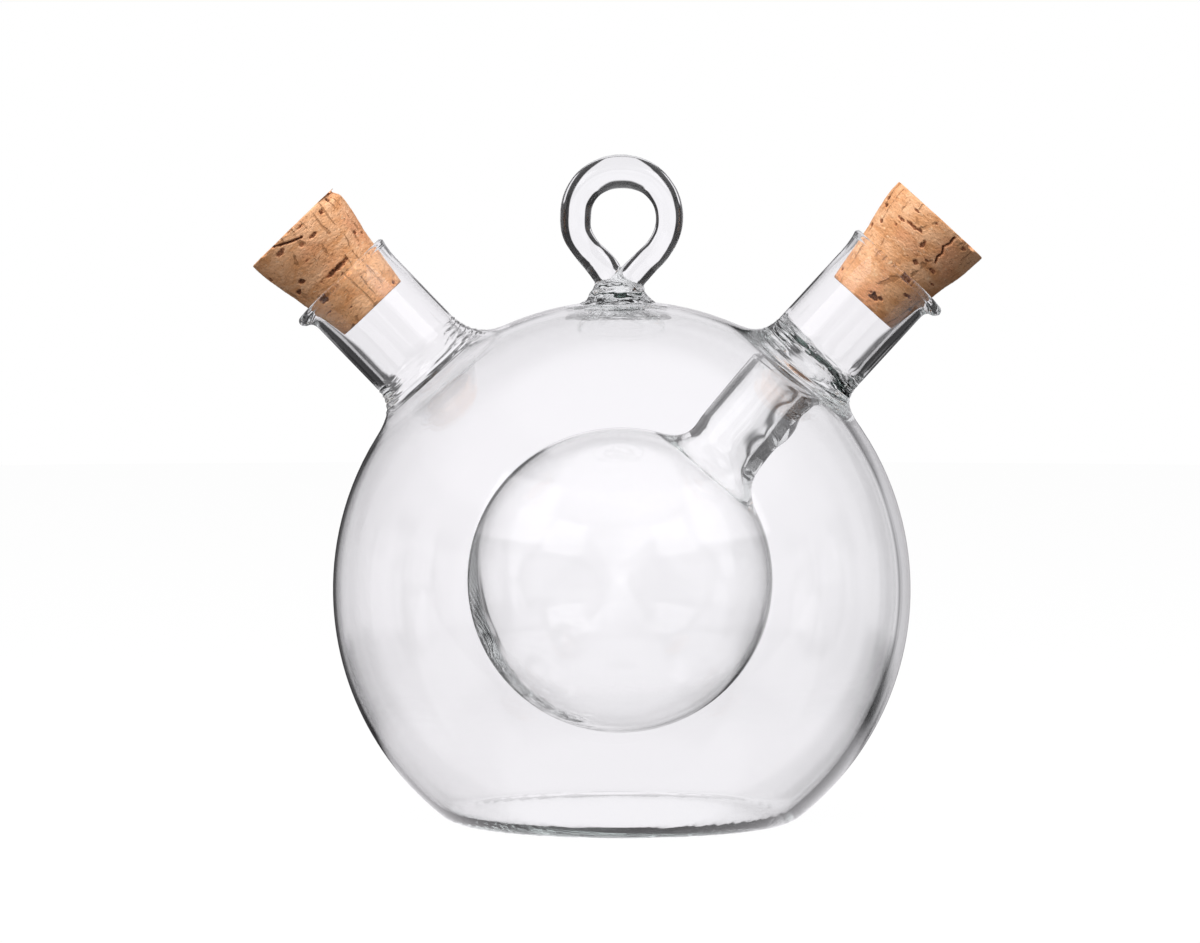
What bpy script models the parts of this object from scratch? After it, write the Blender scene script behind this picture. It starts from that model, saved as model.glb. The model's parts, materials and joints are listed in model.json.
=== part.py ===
"""Clear blown-glass bottle for oil and vinegar, with a ball sealed inside a bulb and two corked necks.

The origin is the centre of the flat base, +Z is up and +X points to the neck of the inner ball.
Every length is in metres and every angle is in degrees.
"""
import math

import bmesh
import bpy
from mathutils import Vector

# Outer bulb
BULB_RADIUS = 0.0600
BULB_WALL = 0.0016
BULB_FLOOR = 0.0020
BULB_CENTRE_HEIGHT = 0.0483
BASE_CORNER_RADIUS = 0.0065
CAVITY_SHIFT = 0.0007

# Necks, measured along each neck's own axis
NECK_CROSSING_RISE = 0.0048
NECK_WALL = 0.00115
LEFT_NECK_TILT = 44.0
LEFT_NECK_RADIUS = 0.01085
LEFT_NECK_LENGTH = 0.0221
LEFT_SEAM_HEIGHT = 0.0051
LEFT_SPOUT_REACH = 0.0018
RIGHT_NECK_TILT = 42.5
RIGHT_NECK_RADIUS = 0.01075
RIGHT_NECK_LENGTH = 0.0240
RIGHT_SEAM_HEIGHT = 0.0041
RIGHT_SPOUT_REACH = 0.0024

# Rolled lip at each mouth; the spout sinks by the droop for each unit that it reaches out
LIP_FLARE = 0.0005
LIP_HEIGHT = 0.0045
SPOUT_DROOP = 0.4
SPOUT_SHARPNESS = 4

# Fused seams between the necks and the bulb
SEAM_FOOT_WIDTH = 0.0055
SEAM_BEAD = 0.0005

# Inner ball and the stem that joins it to the right neck
BALL_RADIUS = 0.0317
BALL_WALL = 0.0012
BALL_FAR_WALL = 0.0026
BALL_LIFT = 0.0019
STEM_RADIUS = 0.0084
STEM_WALL = 0.0012
STEM_FILLET = 0.0030
STEM_RIPPLE = 0.00025
STEM_RIPPLE_LENGTH = 0.0090

# Loop handle of solid glass rod on its fused foot
ROD_RADIUS = 0.0031
LOOP_RADIUS = 0.0097
LOOP_POINT_DROP = 0.0025
LOOP_POINT_WIDTH = 32.0
LOOP_RISE = 0.0023
FOOT_BASE_RADIUS = 0.0104
FOOT_WAIST_RADIUS = 0.0055
FOOT_TOP_RADIUS = 0.0064
FOOT_WAIST_RISE = 0.0028
FOOT_TOP_RISE = 0.0056
FOOT_EDGE = 0.0008

# Corks
CORK_LENGTH = 0.0236
CORK_TAPER = 0.155
CORK_EDGE = 0.0006
LEFT_CORK_INSERTION = 0.0092
RIGHT_CORK_INSERTION = 0.0103

# Gaps that keep neighbouring solids apart
GLASS_GAP = 0.0003
CORK_CLEARANCE = 0.0003

# Facets
BULB_SIDES = 56
BALL_SIDES = 40
NECK_SIDES = 36
STEM_SIDES = 32
ROD_SIDES = 14
LOOP_STEPS = 44
SMOOTH_ANGLE = 35.0
CUT_MARGIN = 0.0100

GLASS_COLOUR = (0.86, 0.88, 0.88, 1.0)
CORK_COLOUR = (0.62, 0.37, 0.20, 1.0)


def clear_scene():
    for item in list(bpy.data.objects):
        bpy.data.objects.remove(item, do_unlink=True)


def plain_material(name, colour, roughness, transmission, ior):
    material = bpy.data.materials.new(name)
    material.use_nodes = True
    shader = material.node_tree.nodes["Principled BSDF"]
    shader.inputs["Base Color"].default_value = colour
    shader.inputs["Roughness"].default_value = roughness
    shader.inputs["Metallic"].default_value = 0.0
    shader.inputs["Transmission Weight"].default_value = transmission
    shader.inputs["IOR"].default_value = ior
    return material


def arc(centre, radii, start, end, steps):
    """Points of an ellipse arc about centre, both ends included, angles in radians from +radius."""
    points = []
    for step in range(steps + 1):
        angle = start + (end - start) * step / steps
        points.append((centre[0] + radii[0] * math.cos(angle), centre[1] + radii[1] * math.sin(angle)))
    return points


def link_mesh(name, bm, material):
    bmesh.ops.remove_doubles(bm, verts=bm.verts, dist=0.000001)
    bmesh.ops.recalc_face_normals(bm, faces=bm.faces)
    mesh = bpy.data.meshes.new(name)
    bm.to_mesh(mesh)
    bm.free()
    mesh.shade_smooth()
    mesh.set_sharp_from_angle(angle=math.radians(SMOOTH_ANGLE))
    item = bpy.data.objects.new(name, mesh)
    bpy.context.scene.collection.objects.link(item)
    if material:
        mesh.materials.append(material)
    return item


def turn(name, outline, sides, material=None):
    """Turn (radius, height) points about local Z. Ends on the axis are closed there, others are joined."""
    bm = bmesh.new()
    verts = [bm.verts.new((radius, 0.0, height)) for radius, height in outline]
    edges = [bm.edges.new(pair) for pair in zip(verts, verts[1:])]
    if outline[0][0] > 0.0:
        edges.append(bm.edges.new((verts[-1], verts[0])))
    bmesh.ops.spin(
        bm, geom=verts + edges, cent=(0, 0, 0), axis=(0, 0, 1),
        angle=math.tau, steps=sides, use_merge=True, use_duplicate=False,
    )
    return link_mesh(name, bm, material)


def as_guide(item):
    item.hide_render = True
    item.display_type = "WIRE"
    return item


def place(item, parent=None, height=0.0):
    """Stand an object on its parent's local Z at the given height."""
    item.parent = parent
    item.location = (0.0, 0.0, height)
    return item


def axis_empty(name, location, tilt):
    """An empty whose local Z is an axis that leans from +Z towards +X by the tilt."""
    empty = bpy.data.objects.new(name, None)
    bpy.context.scene.collection.objects.link(empty)
    empty.location = location
    empty.rotation_euler = (0.0, math.radians(tilt), 0.0)
    return empty


def boolean(item, operation, other):
    modifier = item.modifiers.new(operation.lower() + "_" + other.name, "BOOLEAN")
    modifier.operation = operation
    modifier.solver = "EXACT"
    modifier.object = other


# Places that follow from the driving dimensions
def reach_inside(radius, rise, tilt):
    """Distance from a point above a sphere's centre to that sphere, along an axis of the given tilt."""
    slope = math.radians(tilt)
    across = rise * math.sin(slope)
    return math.sqrt(radius ** 2 - across ** 2) - rise * math.cos(slope)


def bottle_outline(radius, floor, corner, steps):
    """Sphere standing on a flat floor with a rounded corner, from its top pole to the floor's centre."""
    drop = BULB_CENTRE_HEIGHT - floor - corner
    corner_reach = math.sqrt((radius - corner) ** 2 - drop ** 2)
    meeting = -math.atan2(drop, corner_reach)
    centre = (0.0, BULB_CENTRE_HEIGHT)
    ball = arc(centre, (radius, radius), math.pi / 2, meeting, steps)
    ball[0] = (0.0, BULB_CENTRE_HEIGHT + radius)
    corner_centre = (corner_reach, floor + corner)
    bend = arc(corner_centre, (corner, corner), meeting, -math.pi / 2, 4)
    return ball + bend[1:] + [(0.0, floor)]


def bulb_solid(name, growth=0.0):
    outline = bottle_outline(BULB_RADIUS + growth, -growth, BASE_CORNER_RADIUS + growth, 17)
    return turn(name, outline, BULB_SIDES)


def cavity_solid(name, growth=0.0):
    wall = BULB_WALL - growth
    outline = bottle_outline(BULB_RADIUS - wall, BULB_FLOOR - growth, BASE_CORNER_RADIUS - wall, 14)
    item = turn(name, outline, BULB_SIDES)
    item.location = (-CAVITY_SHIFT, 0.0, 0.0)
    return item


class Neck:
    """One neck: its axis, its heights along the axis and its bores."""

    def __init__(self, side, tilt, radius, length, seam_height, spout_reach, insertion, throat_radius):
        self.side = side
        self.sign = 1.0 if tilt > 0 else -1.0
        self.radius = radius
        self.bore = radius - NECK_WALL
        self.throat = throat_radius or self.bore
        self.spout = spout_reach
        self.surface = reach_inside(BULB_RADIUS, NECK_CROSSING_RISE, abs(tilt))
        self.seam_top = self.surface + seam_height
        self.rim = self.seam_top + length
        self.foot_radius = radius + SEAM_FOOT_WIDTH
        self.insertion = insertion
        crossing = (0.0, 0.0, BULB_CENTRE_HEIGHT + NECK_CROSSING_RISE)
        self.axis = axis_empty(side + "_neck_axis", crossing, tilt)
        slope = math.radians(tilt)
        self.direction = Vector((math.sin(slope), 0.0, math.cos(slope)))
        self.crossing = Vector(crossing)


def make_necks():
    stem_bore = STEM_RADIUS - STEM_WALL
    left = Neck(
        "left", -LEFT_NECK_TILT, LEFT_NECK_RADIUS, LEFT_NECK_LENGTH,
        LEFT_SEAM_HEIGHT, LEFT_SPOUT_REACH, LEFT_CORK_INSERTION, None,
    )
    right = Neck(
        "right", RIGHT_NECK_TILT, RIGHT_NECK_RADIUS, RIGHT_NECK_LENGTH,
        RIGHT_SEAM_HEIGHT, RIGHT_SPOUT_REACH, RIGHT_CORK_INSERTION, stem_bore,
    )
    return left, right


def outer_bulb(necks, cavity, material):
    """Blown shell with a flat base and one port for each neck's seam."""
    bulb = bulb_solid("outer_bulb")
    bulb.data.materials.append(material)
    boolean(bulb, "DIFFERENCE", cavity)
    for neck in necks:
        radius = neck.foot_radius + GLASS_GAP
        low = neck.surface - 2 * CUT_MARGIN
        high = neck.surface + CUT_MARGIN
        outline = [(0.0, low), (radius, low), (radius, high), (0.0, high)]
        port = as_guide(turn(neck.side + "_port_cutter", outline, NECK_SIDES))
        place(port, neck.axis)
        boolean(bulb, "DIFFERENCE", port)
    return bulb


def neck_collar(name, neck, bulb_shape, cavity, material):
    """Fused seam: the patch of bulb in the port, drawn up in a fillet to the foot of the neck."""
    low = neck.surface - 2 * CUT_MARGIN
    high = neck.surface + CUT_MARGIN
    patch = [(0.0, low), (neck.foot_radius, low), (neck.foot_radius, high), (0.0, high)]
    collar = turn(name, patch, NECK_SIDES, material)
    place(collar, neck.axis)
    boolean(collar, "INTERSECT", bulb_shape)

    fillet_end = neck.foot_radius - GLASS_GAP
    sink = neck.surface - reach_at(neck, fillet_end)
    depth = neck.seam_top - neck.surface + sink
    width = fillet_end - neck.radius
    fillet = arc((fillet_end, neck.seam_top), (width, depth), math.pi, 1.5 * math.pi, 7)
    beaded = []
    for radius, height in fillet:
        rise = (height - fillet[-1][1]) / depth
        beaded.append((radius + SEAM_BEAD * math.sin(math.tau * rise) ** 2 * rise, height))
    flare = as_guide(turn(
        name + "_flare_guide", [(0.0, neck.seam_top)] + beaded + [(fillet_end, low), (0.0, low)], NECK_SIDES,
    ))
    place(flare, neck.axis)
    bottom = neck.surface - BULB_WALL - SEAM_BEAD
    bore = as_guide(turn(
        name + "_bore_cutter",
        [(0.0, low), (neck.throat, low), (neck.throat, bottom), (neck.bore, neck.surface),
         (neck.bore, neck.seam_top + CUT_MARGIN), (0.0, neck.seam_top + CUT_MARGIN)],
        NECK_SIDES,
    ))
    place(bore, neck.axis)
    boolean(collar, "UNION", flare)
    boolean(collar, "DIFFERENCE", cavity)
    boolean(collar, "DIFFERENCE", bore)
    return collar


def reach_at(neck, radius):
    """Lowest height along the neck's axis at which the bulb's surface lies that far from the axis."""
    up = neck.direction.z
    across = math.sqrt(1.0 - up ** 2)
    rise = NECK_CROSSING_RISE
    rest = radius ** 2 + rise ** 2 + 2 * radius * rise * across - BULB_RADIUS ** 2
    return math.sqrt((rise * up) ** 2 - rest) - rise * up


def neck_tube(name, neck, material):
    """Tube with a rolled lip that is drawn out into a pouring spout on its lower side."""
    half = NECK_WALL / 2
    low = neck.seam_top + GLASS_GAP
    bend = neck.rim - half
    middle = neck.radius - half
    start = bend - LIP_HEIGHT
    outer = [(neck.radius, low)]
    inner = []
    steps = 4
    for step in range(steps + 1):
        share = step / steps
        height = start + LIP_HEIGHT * share
        flare = LIP_FLARE * share ** 2
        outer.append((neck.radius + flare, height))
        inner.append((neck.bore + flare, height))
    rim_roll = arc((middle + LIP_FLARE, bend), (half, half), 0.0, math.pi, 4)[1:-1]
    outline = outer + rim_roll + inner[::-1] + [(neck.bore, low)]
    tube = turn(name, outline, NECK_SIDES, material)
    for vertex in tube.data.vertices:
        share = max(0.0, (vertex.co.z - start) / (neck.rim - start))
        distance = math.hypot(vertex.co.x, vertex.co.y)
        lower_side = max(0.0, neck.sign * vertex.co.x / distance)
        push = neck.spout * share ** 2 * lower_side ** SPOUT_SHARPNESS
        vertex.co.x += push * vertex.co.x / distance
        vertex.co.y += push * vertex.co.y / distance
        vertex.co.z -= SPOUT_DROOP * push
    return place(tube, neck.axis)


def cork(name, neck, material):
    """Tapered cork whose side meets the bore at the mouth; its origin is its small end, on the axis."""
    small = neck.bore - CORK_CLEARANCE - CORK_TAPER * neck.insertion
    large = small + CORK_TAPER * CORK_LENGTH
    outline = [
        (0.0, 0.0),
        (small - CORK_EDGE, 0.0),
        (small + CORK_TAPER * CORK_EDGE, CORK_EDGE),
        (large - CORK_TAPER * CORK_EDGE, CORK_LENGTH - CORK_EDGE),
        (large - CORK_EDGE, CORK_LENGTH),
        (0.0, CORK_LENGTH),
    ]
    stopper = turn(name, outline, NECK_SIDES, material)
    return place(stopper, neck.axis, neck.rim - neck.insertion)


def stem_axis(right):
    """Axis from the ball's centre to the middle of the right seam's underside."""
    ball_centre = Vector((0.0, 0.0, BULB_CENTRE_HEIGHT + BALL_LIFT))
    seam = right.crossing + right.direction * (right.surface - BULB_WALL)
    run = seam - ball_centre
    tilt = math.degrees(math.atan2(run.x, run.z))
    return axis_empty("stem_axis", ball_centre, tilt), run.length


def ball_inside(angle):
    """Point of the ball's inner wall at an angle from the stem's axis."""
    radius = BALL_RADIUS - (BALL_WALL + BALL_FAR_WALL) / 2
    shift = (BALL_FAR_WALL - BALL_WALL) / 2
    reach = shift * math.cos(angle) + math.sqrt(radius ** 2 - (shift * math.sin(angle)) ** 2)
    return (reach * math.sin(angle), reach * math.cos(angle))


def ball_opening():
    return math.asin((STEM_RADIUS + STEM_FILLET) / BALL_RADIUS)


def inner_ball(axis, material):
    """Shell about the stem's axis, thicker at its far end, open where the stem joins it."""
    opening = ball_opening()
    steps = 12
    outer = []
    inner = []
    for step in range(steps + 1):
        angle = math.pi + (opening - math.pi) * step / steps
        outer.append((BALL_RADIUS * math.sin(angle), BALL_RADIUS * math.cos(angle)))
        inner.append(ball_inside(angle))
    outer[0] = (0.0, -BALL_RADIUS)
    inner[0] = (0.0, ball_inside(math.pi)[1])
    ball = turn("inner_ball", outer + inner[::-1], BALL_SIDES, material)
    return place(ball, axis)


def inner_stem(axis, length, trimmed_cavity, material):
    """Tube from the right seam to the ball, slightly rippled, flared out to meet the ball's opening."""
    edge = ball_opening() - GLASS_GAP / BALL_RADIUS
    bore = STEM_RADIUS - STEM_WALL
    outer_end = (BALL_RADIUS * math.sin(edge), BALL_RADIUS * math.cos(edge))
    inner_end = ball_inside(edge)
    top = length + CUT_MARGIN
    shoulder = outer_end[1] + STEM_FILLET
    outer_bend = arc(
        (outer_end[0], shoulder), (outer_end[0] - STEM_RADIUS, STEM_FILLET), 1.5 * math.pi, math.pi, 5,
    )
    inner_bend = arc(
        (inner_end[0], shoulder), (inner_end[0] - bore, shoulder - inner_end[1]), math.pi, 1.5 * math.pi, 5,
    )
    straight = []
    steps = 9
    for step in range(1, steps + 1):
        height = shoulder + (top - shoulder) * step / steps
        ripple = STEM_RIPPLE * math.sin(math.tau * (height - shoulder) / STEM_RIPPLE_LENGTH)
        straight.append((ripple, height))
    outer = [(STEM_RADIUS + ripple, height) for ripple, height in straight]
    inner = [(bore + ripple, height) for ripple, height in straight[::-1]]
    stem = turn("inner_stem", outer_bend + outer + inner + inner_bend, STEM_SIDES, material)
    boolean(stem, "INTERSECT", trimmed_cavity)
    return place(stem, axis)


def loop_rod(name, radius, material=None):
    """Rod bent into a ring with a drawn-down point, swept round in the plane of the necks."""
    lowest = BULB_CENTRE_HEIGHT + BULB_RADIUS + LOOP_RISE
    centre_height = lowest + ROD_RADIUS + LOOP_POINT_DROP + LOOP_RADIUS

    def path(turned):
        off_bottom = math.degrees(math.remainder(turned + math.pi / 2, math.tau))
        reach = LOOP_RADIUS + LOOP_POINT_DROP * math.exp(-((off_bottom / LOOP_POINT_WIDTH) ** 2))
        return Vector((reach * math.cos(turned), 0.0, centre_height + reach * math.sin(turned)))

    bm = bmesh.new()
    rings = []
    for step in range(LOOP_STEPS):
        turned = math.tau * step / LOOP_STEPS
        here = path(turned)
        along = (path(turned + 0.01) - path(turned - 0.01)).normalized()
        outward = along.cross(Vector((0.0, 1.0, 0.0)))
        ring = []
        for side in range(ROD_SIDES):
            around = math.tau * side / ROD_SIDES
            offset = outward * math.cos(around) + Vector((0.0, 1.0, 0.0)) * math.sin(around)
            ring.append(bm.verts.new(here + offset * radius))
        rings.append(ring)
    for ring, following in zip(rings, rings[1:] + rings[:1]):
        for side in range(ROD_SIDES):
            after = (side + 1) % ROD_SIDES
            bm.faces.new((ring[side], ring[after], following[after], following[side]))
    return link_mesh(name, bm, material)


def handle_foot(material):
    """Gather of glass between the bulb's top and the loop, waisted, with a saddle for the rod."""
    top = BULB_CENTRE_HEIGHT + BULB_RADIUS
    waist = top + FOOT_WAIST_RISE
    rim = BULB_CENTRE_HEIGHT + math.sqrt(BULB_RADIUS ** 2 - FOOT_BASE_RADIUS ** 2) + FOOT_EDGE
    sweep = arc(
        (FOOT_BASE_RADIUS, waist), (FOOT_BASE_RADIUS - FOOT_WAIST_RADIUS, waist - rim),
        1.5 * math.pi, math.pi, 6,
    )
    shoulder = top + FOOT_TOP_RISE
    edge = FOOT_TOP_RADIUS - FOOT_WAIST_RADIUS
    outline = [(0.0, rim - CUT_MARGIN), (FOOT_BASE_RADIUS, rim - CUT_MARGIN)]
    outline += sweep
    outline += [(FOOT_TOP_RADIUS, shoulder - edge), (FOOT_TOP_RADIUS - edge, shoulder), (0.0, shoulder)]
    foot = turn("handle_foot", outline, STEM_SIDES, material)
    boolean(foot, "DIFFERENCE", as_guide(bulb_solid("foot_seat_cutter", GLASS_GAP)))
    boolean(foot, "DIFFERENCE", as_guide(loop_rod("rod_saddle_cutter", ROD_RADIUS + GLASS_GAP)))
    return foot


def main():
    clear_scene()
    glass = plain_material("clear_glass", GLASS_COLOUR, 0.03, 1.0, 1.47)
    cork_bark = plain_material("natural_cork", CORK_COLOUR, 0.85, 0.0, 1.45)
    left, right = make_necks()
    bulb_shape = as_guide(bulb_solid("bulb_shape_guide"))
    cavity = as_guide(cavity_solid("cavity_cutter"))
    trimmed_cavity = as_guide(cavity_solid("trimmed_cavity_guide", -GLASS_GAP))

    outer_bulb((left, right), cavity, glass)
    neck_collar("left_neck_collar", left, bulb_shape, cavity, glass)
    neck_collar("right_neck_collar", right, bulb_shape, cavity, glass)
    for neck in (left, right):
        neck_tube(neck.side + "_neck", neck, glass)
        cork(neck.side + "_cork", neck, cork_bark)

    axis, length = stem_axis(right)
    inner_ball(axis, glass)
    inner_stem(axis, length, trimmed_cavity, glass)
    loop_rod("loop_handle", ROD_RADIUS, glass)
    handle_foot(glass)


main()
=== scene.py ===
# %% [markdown]
# # A blown-glass bottle for oil and vinegar
# The bottle is one bulb of clear glass with a smaller ball sealed inside it. The left neck opens into the
# bulb, the right neck runs through the bulb's wall as a stem and opens into the ball. A loop of solid rod
# is the handle, and a tapered cork closes each neck. Places and sizes here repeat those of the packed
# solids, and this script adds the looks.

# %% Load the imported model
import json
import math
import bpy
import numpy as np
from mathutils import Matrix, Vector, noise


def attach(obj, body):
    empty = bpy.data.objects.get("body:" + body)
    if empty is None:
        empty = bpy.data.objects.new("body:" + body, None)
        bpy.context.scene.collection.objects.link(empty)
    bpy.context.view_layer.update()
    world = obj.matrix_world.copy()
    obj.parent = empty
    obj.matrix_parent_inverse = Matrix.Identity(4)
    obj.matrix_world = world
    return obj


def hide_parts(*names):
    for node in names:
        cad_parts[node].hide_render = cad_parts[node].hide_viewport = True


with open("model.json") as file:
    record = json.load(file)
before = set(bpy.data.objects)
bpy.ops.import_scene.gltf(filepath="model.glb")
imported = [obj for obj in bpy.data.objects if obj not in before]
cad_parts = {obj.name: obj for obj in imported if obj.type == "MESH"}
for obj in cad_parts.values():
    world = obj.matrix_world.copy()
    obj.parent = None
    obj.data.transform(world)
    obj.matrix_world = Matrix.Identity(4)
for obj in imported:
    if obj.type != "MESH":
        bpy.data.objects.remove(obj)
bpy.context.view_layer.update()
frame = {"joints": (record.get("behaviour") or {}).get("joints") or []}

# %% [markdown]
# ## The camera
# The photograph is a product shot from about one and a half metres with a long lens, from slightly above
# the bottle. The tops of the corks show almost edge on, and the flat base shows as a thin ellipse, so the
# camera stands a little higher than the handle. Its distance, height and lens were settled by laying
# renders over the photograph.

# %% Camera
CAMERA_DISTANCE = 1.60
CAMERA_HEIGHT = 0.175
CAMERA_AIM = Vector((-0.0045, 0.0, 0.0728))
FIELD_WIDTH = 0.2492
SENSOR_WIDTH = 36.0

camera_data = bpy.data.cameras.new("camera")
camera = bpy.data.objects.new("camera", camera_data)
bpy.context.scene.collection.objects.link(camera)
camera.location = (CAMERA_AIM.x, -CAMERA_DISTANCE, CAMERA_HEIGHT)
camera.rotation_euler = (CAMERA_AIM - camera.location).to_track_quat("-Z", "Y").to_euler()
camera_data.sensor_width = SENSOR_WIDTH
camera_data.lens = SENSOR_WIDTH * (CAMERA_AIM - camera.location).length / FIELD_WIDTH
bpy.context.scene.camera = camera
print("lens, mm:", round(camera_data.lens, 1))

# %% [markdown]
# ## One skin of glass
# Clear glass shows every joint. Where two meshes only touch, light bends at both faces and a false line
# appears, so bulb, seams, necks, stem and ball are modelled here as one closed skin, and the handle is
# fused to it later. That skin has a simple plan: it is a single tube that starts at the far end of the
# ball's outside, runs up the stem, round the inside of the bulb, out of the left neck, over its lip, back
# over the whole outside, over the right lip and down through the stem into the ball. A flat grid rolled
# into a tube makes it, with one row of the grid for each ring, so it has no poles or joints where the eye
# looks. Each ring is a circle: a centre, a lean and a radius. The lists of rings come next.

# %% Sizes of the glass
BULB_RADIUS = 0.0600
BULB_CENTRE = Vector((0.0, 0.0, 0.0483))
BASE_CORNER = 0.0066
CAVITY_RADIUS = 0.05825
CAVITY_FLOOR = 0.0021
CAVITY_CORNER = 0.0052
CAVITY_SHIFT = 0.0008
NECK_CROSSING = Vector((0.0, 0.0, 0.0531))
BALL_RADIUS = 0.0317
BALL_CENTRE = Vector((0.0, 0.0, 0.0502))
BALL_HOLLOW_RADIUS = 0.03115
STEM_LEAN = math.radians(40.53)
STEM_RADIUS = 0.0081
STEM_TOP_RADIUS = STEM_RADIUS + 0.0003
STEM_BORE = 0.0066
STEM_OFFSET = 0.0011
STEM_BORE_OFFSET = 0.0017
STEM_BORE_DEPTH = 0.10
SEAL_CIRCLE = 0.0125
SEAL_TOP = 0.0560
RIGHT_SEAM_BORE_TOP = 0.0654

# How many points each ring has, and how many rings each part of the skin has.
AROUND = 152
BALL_STEPS = 44
JUNCTION_STEPS = 20
STEM_STEPS = 36
STEM_BORE_STEPS = 46
SEAL_STEPS = 8
CAVITY_STEPS = 112
BULB_STEPS = 124
FILLET_STEPS = 42
THROAT_STEPS = 34
NECK_STEPS = 10
MERGE_DISTANCE = 0.000002


def lean_of(joint_name):
    """Lean of a cork's joint from +Z towards +X, which is the lean of its neck."""
    axis = next(j["axis"] for j in frame["joints"] if j["name"] == joint_name)
    return math.atan2(axis[0], axis[2])


def along(lean):
    return Vector((math.sin(lean), 0.0, math.cos(lean)))


def smooth_step(value, low, high):
    share = np.clip((value - low) / (high - low), 0.0, 1.0)
    return share * share * (3.0 - 2.0 * share)


def smooth_curve(table, at):
    """A smooth curve through a table of rows (place, value, ...), read at an array of places."""
    table = np.array(table)
    places = table[:, 0]
    at = np.clip(at, places[0], places[-1])
    index = np.clip(np.searchsorted(places, at) - 1, 0, len(places) - 2)
    step = places[index + 1] - places[index]
    t = (at - places[index]) / step
    curves = []
    for values in table.T[1:]:
        slopes = np.gradient(values, places)
        start = values[index] * (1 + 2 * t) * (1 - t) ** 2 + slopes[index] * step * t * (1 - t) ** 2
        end = values[index + 1] * t ** 2 * (3 - 2 * t) + slopes[index + 1] * step * t ** 2 * (t - 1)
        curves.append(start + end)
    return curves[0] if len(curves) == 1 else curves


def noise_at(px, py, pz):
    return noise.noise(Vector((px, py, pz)))


def deselect_all():
    bpy.ops.object.select_all(action="DESELECT")


def roll(name, px, py, pz):
    """A closed tube from a flat grid: one row of the arrays for each ring, one column for each step around.

    The first and the last ring have no size, and the last column lies on the first, so the tube closes.
    """
    rows_high, columns = px.shape
    deselect_all()
    bpy.ops.mesh.primitive_grid_add(x_subdivisions=columns - 1, y_subdivisions=rows_high - 1, size=1.0)
    piece = bpy.context.object
    piece.name = name
    piece.data.name = name
    flat = np.empty(len(piece.data.vertices) * 3)
    piece.data.vertices.foreach_get("co", flat)
    flat = flat.reshape(-1, 3)
    column = np.rint((flat[:, 0] + 0.5) * (columns - 1)).astype(int)
    row = np.rint((flat[:, 1] + 0.5) * (rows_high - 1)).astype(int)
    rolled = np.stack([px[row, column], py[row, column], pz[row, column]], axis=-1)
    piece.data.vertices.foreach_set("co", rolled.ravel())
    bpy.ops.object.mode_set(mode="EDIT")
    bpy.ops.mesh.select_all(action="SELECT")
    bpy.ops.mesh.remove_doubles(threshold=MERGE_DISTANCE)
    bpy.ops.mesh.normals_make_consistent(inside=False)
    bpy.ops.object.mode_set(mode="OBJECT")
    bpy.ops.object.shade_smooth()
    print(name, len(piece.data.vertices), "points,", len(piece.data.polygons), "faces")
    return piece


# %% [markdown]
# ## The two necks
# A neck does not point quite at the bulb's centre: it leans three degrees further out. Near the seam its
# rings therefore swing from the bulb's own radius to the neck's axis, and from there to the lip they
# follow the axis.

# %% Necks
SWING = (0.0570, 0.0645)
SET_OVER_START = (0.0600, 0.0660)
SET_OVER_END = (0.0890, 0.0740)


class Neck:
    """Where a neck's axis runs, and how its tube is shaped."""

    def __init__(self, joint_name, radius, wall, seam, rim, foot, spout):
        self.lean = lean_of(joint_name)
        side = 1.0 if self.lean > 0 else -1.0
        across = (NECK_CROSSING - BULB_CENTRE).length * math.sin(abs(self.lean))
        reach = math.sqrt(BULB_RADIUS ** 2 - across ** 2)
        reach -= (NECK_CROSSING - BULB_CENTRE).length * math.cos(self.lean)
        self.pierce = NECK_CROSSING + along(self.lean) * reach
        offset = self.pierce - BULB_CENTRE
        self.radial_lean = math.atan2(offset.x, offset.z)
        self.side = side
        self.radius = radius
        self.bore = radius - wall
        self.seam = seam
        self.rim = rim
        self.foot = foot
        self.spout = spout

    def ring(self, part, height, radius, set_over=0.0):
        """A ring around this neck, its height counted from the bulb's centre, set over to the upper side."""
        swing = float(smooth_step(height, *SWING))
        lean = self.radial_lean + (self.lean - self.radial_lean) * swing
        centre = self.pierce + along(lean) * (height - BULB_RADIUS)
        facing = lean if self.side > 0 else lean + math.pi
        set_over *= float(smooth_step(height, *SET_OVER_START) * smooth_step(height, *SET_OVER_END))
        centre -= Vector((math.cos(facing), 0.0, -math.sin(facing))) * set_over
        return (part, centre.x, centre.z, facing, radius, height)


LEFT = Neck("left_cork_pull", 0.01085, 0.00115, 0.0655, 0.0874, 0.0178, 0.00125)
RIGHT = Neck("right_cork_pull", 0.01075, 0.00125, 0.0645, 0.0884, 0.0172, 0.00150)
NECK_BORE_SET_OVER = 0.00048
print("neck leans:", round(math.degrees(LEFT.lean), 2), round(math.degrees(RIGHT.lean), 2))


# %% Rings as lists
def bezier(start, pull_start, pull_end, end, steps):
    """Points of a cubic curve in (radius, height), without its first point."""
    points = []
    for step in range(1, steps + 1):
        t = step / steps
        weights = ((1 - t) ** 3, 3 * (1 - t) ** 2 * t, 3 * (1 - t) * t ** 2, t ** 3)
        corners = (start, pull_start, pull_end, end)
        points.append(tuple(sum(w * p[axis] for w, p in zip(weights, corners)) for axis in (0, 1)))
    return points


def line(start, end, steps):
    return [
        (start[0] + (end[0] - start[0]) * step / steps, start[1] + (end[1] - start[1]) * step / steps)
        for step in range(1, steps + 1)
    ]


LIP_FLARE = 0.00045
LIP_FLARE_HEIGHT = 0.0040
LIP_BEAD = 1.28
FILLET_PULL = 0.0050
FILLET_REACH = 0.0040


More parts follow.
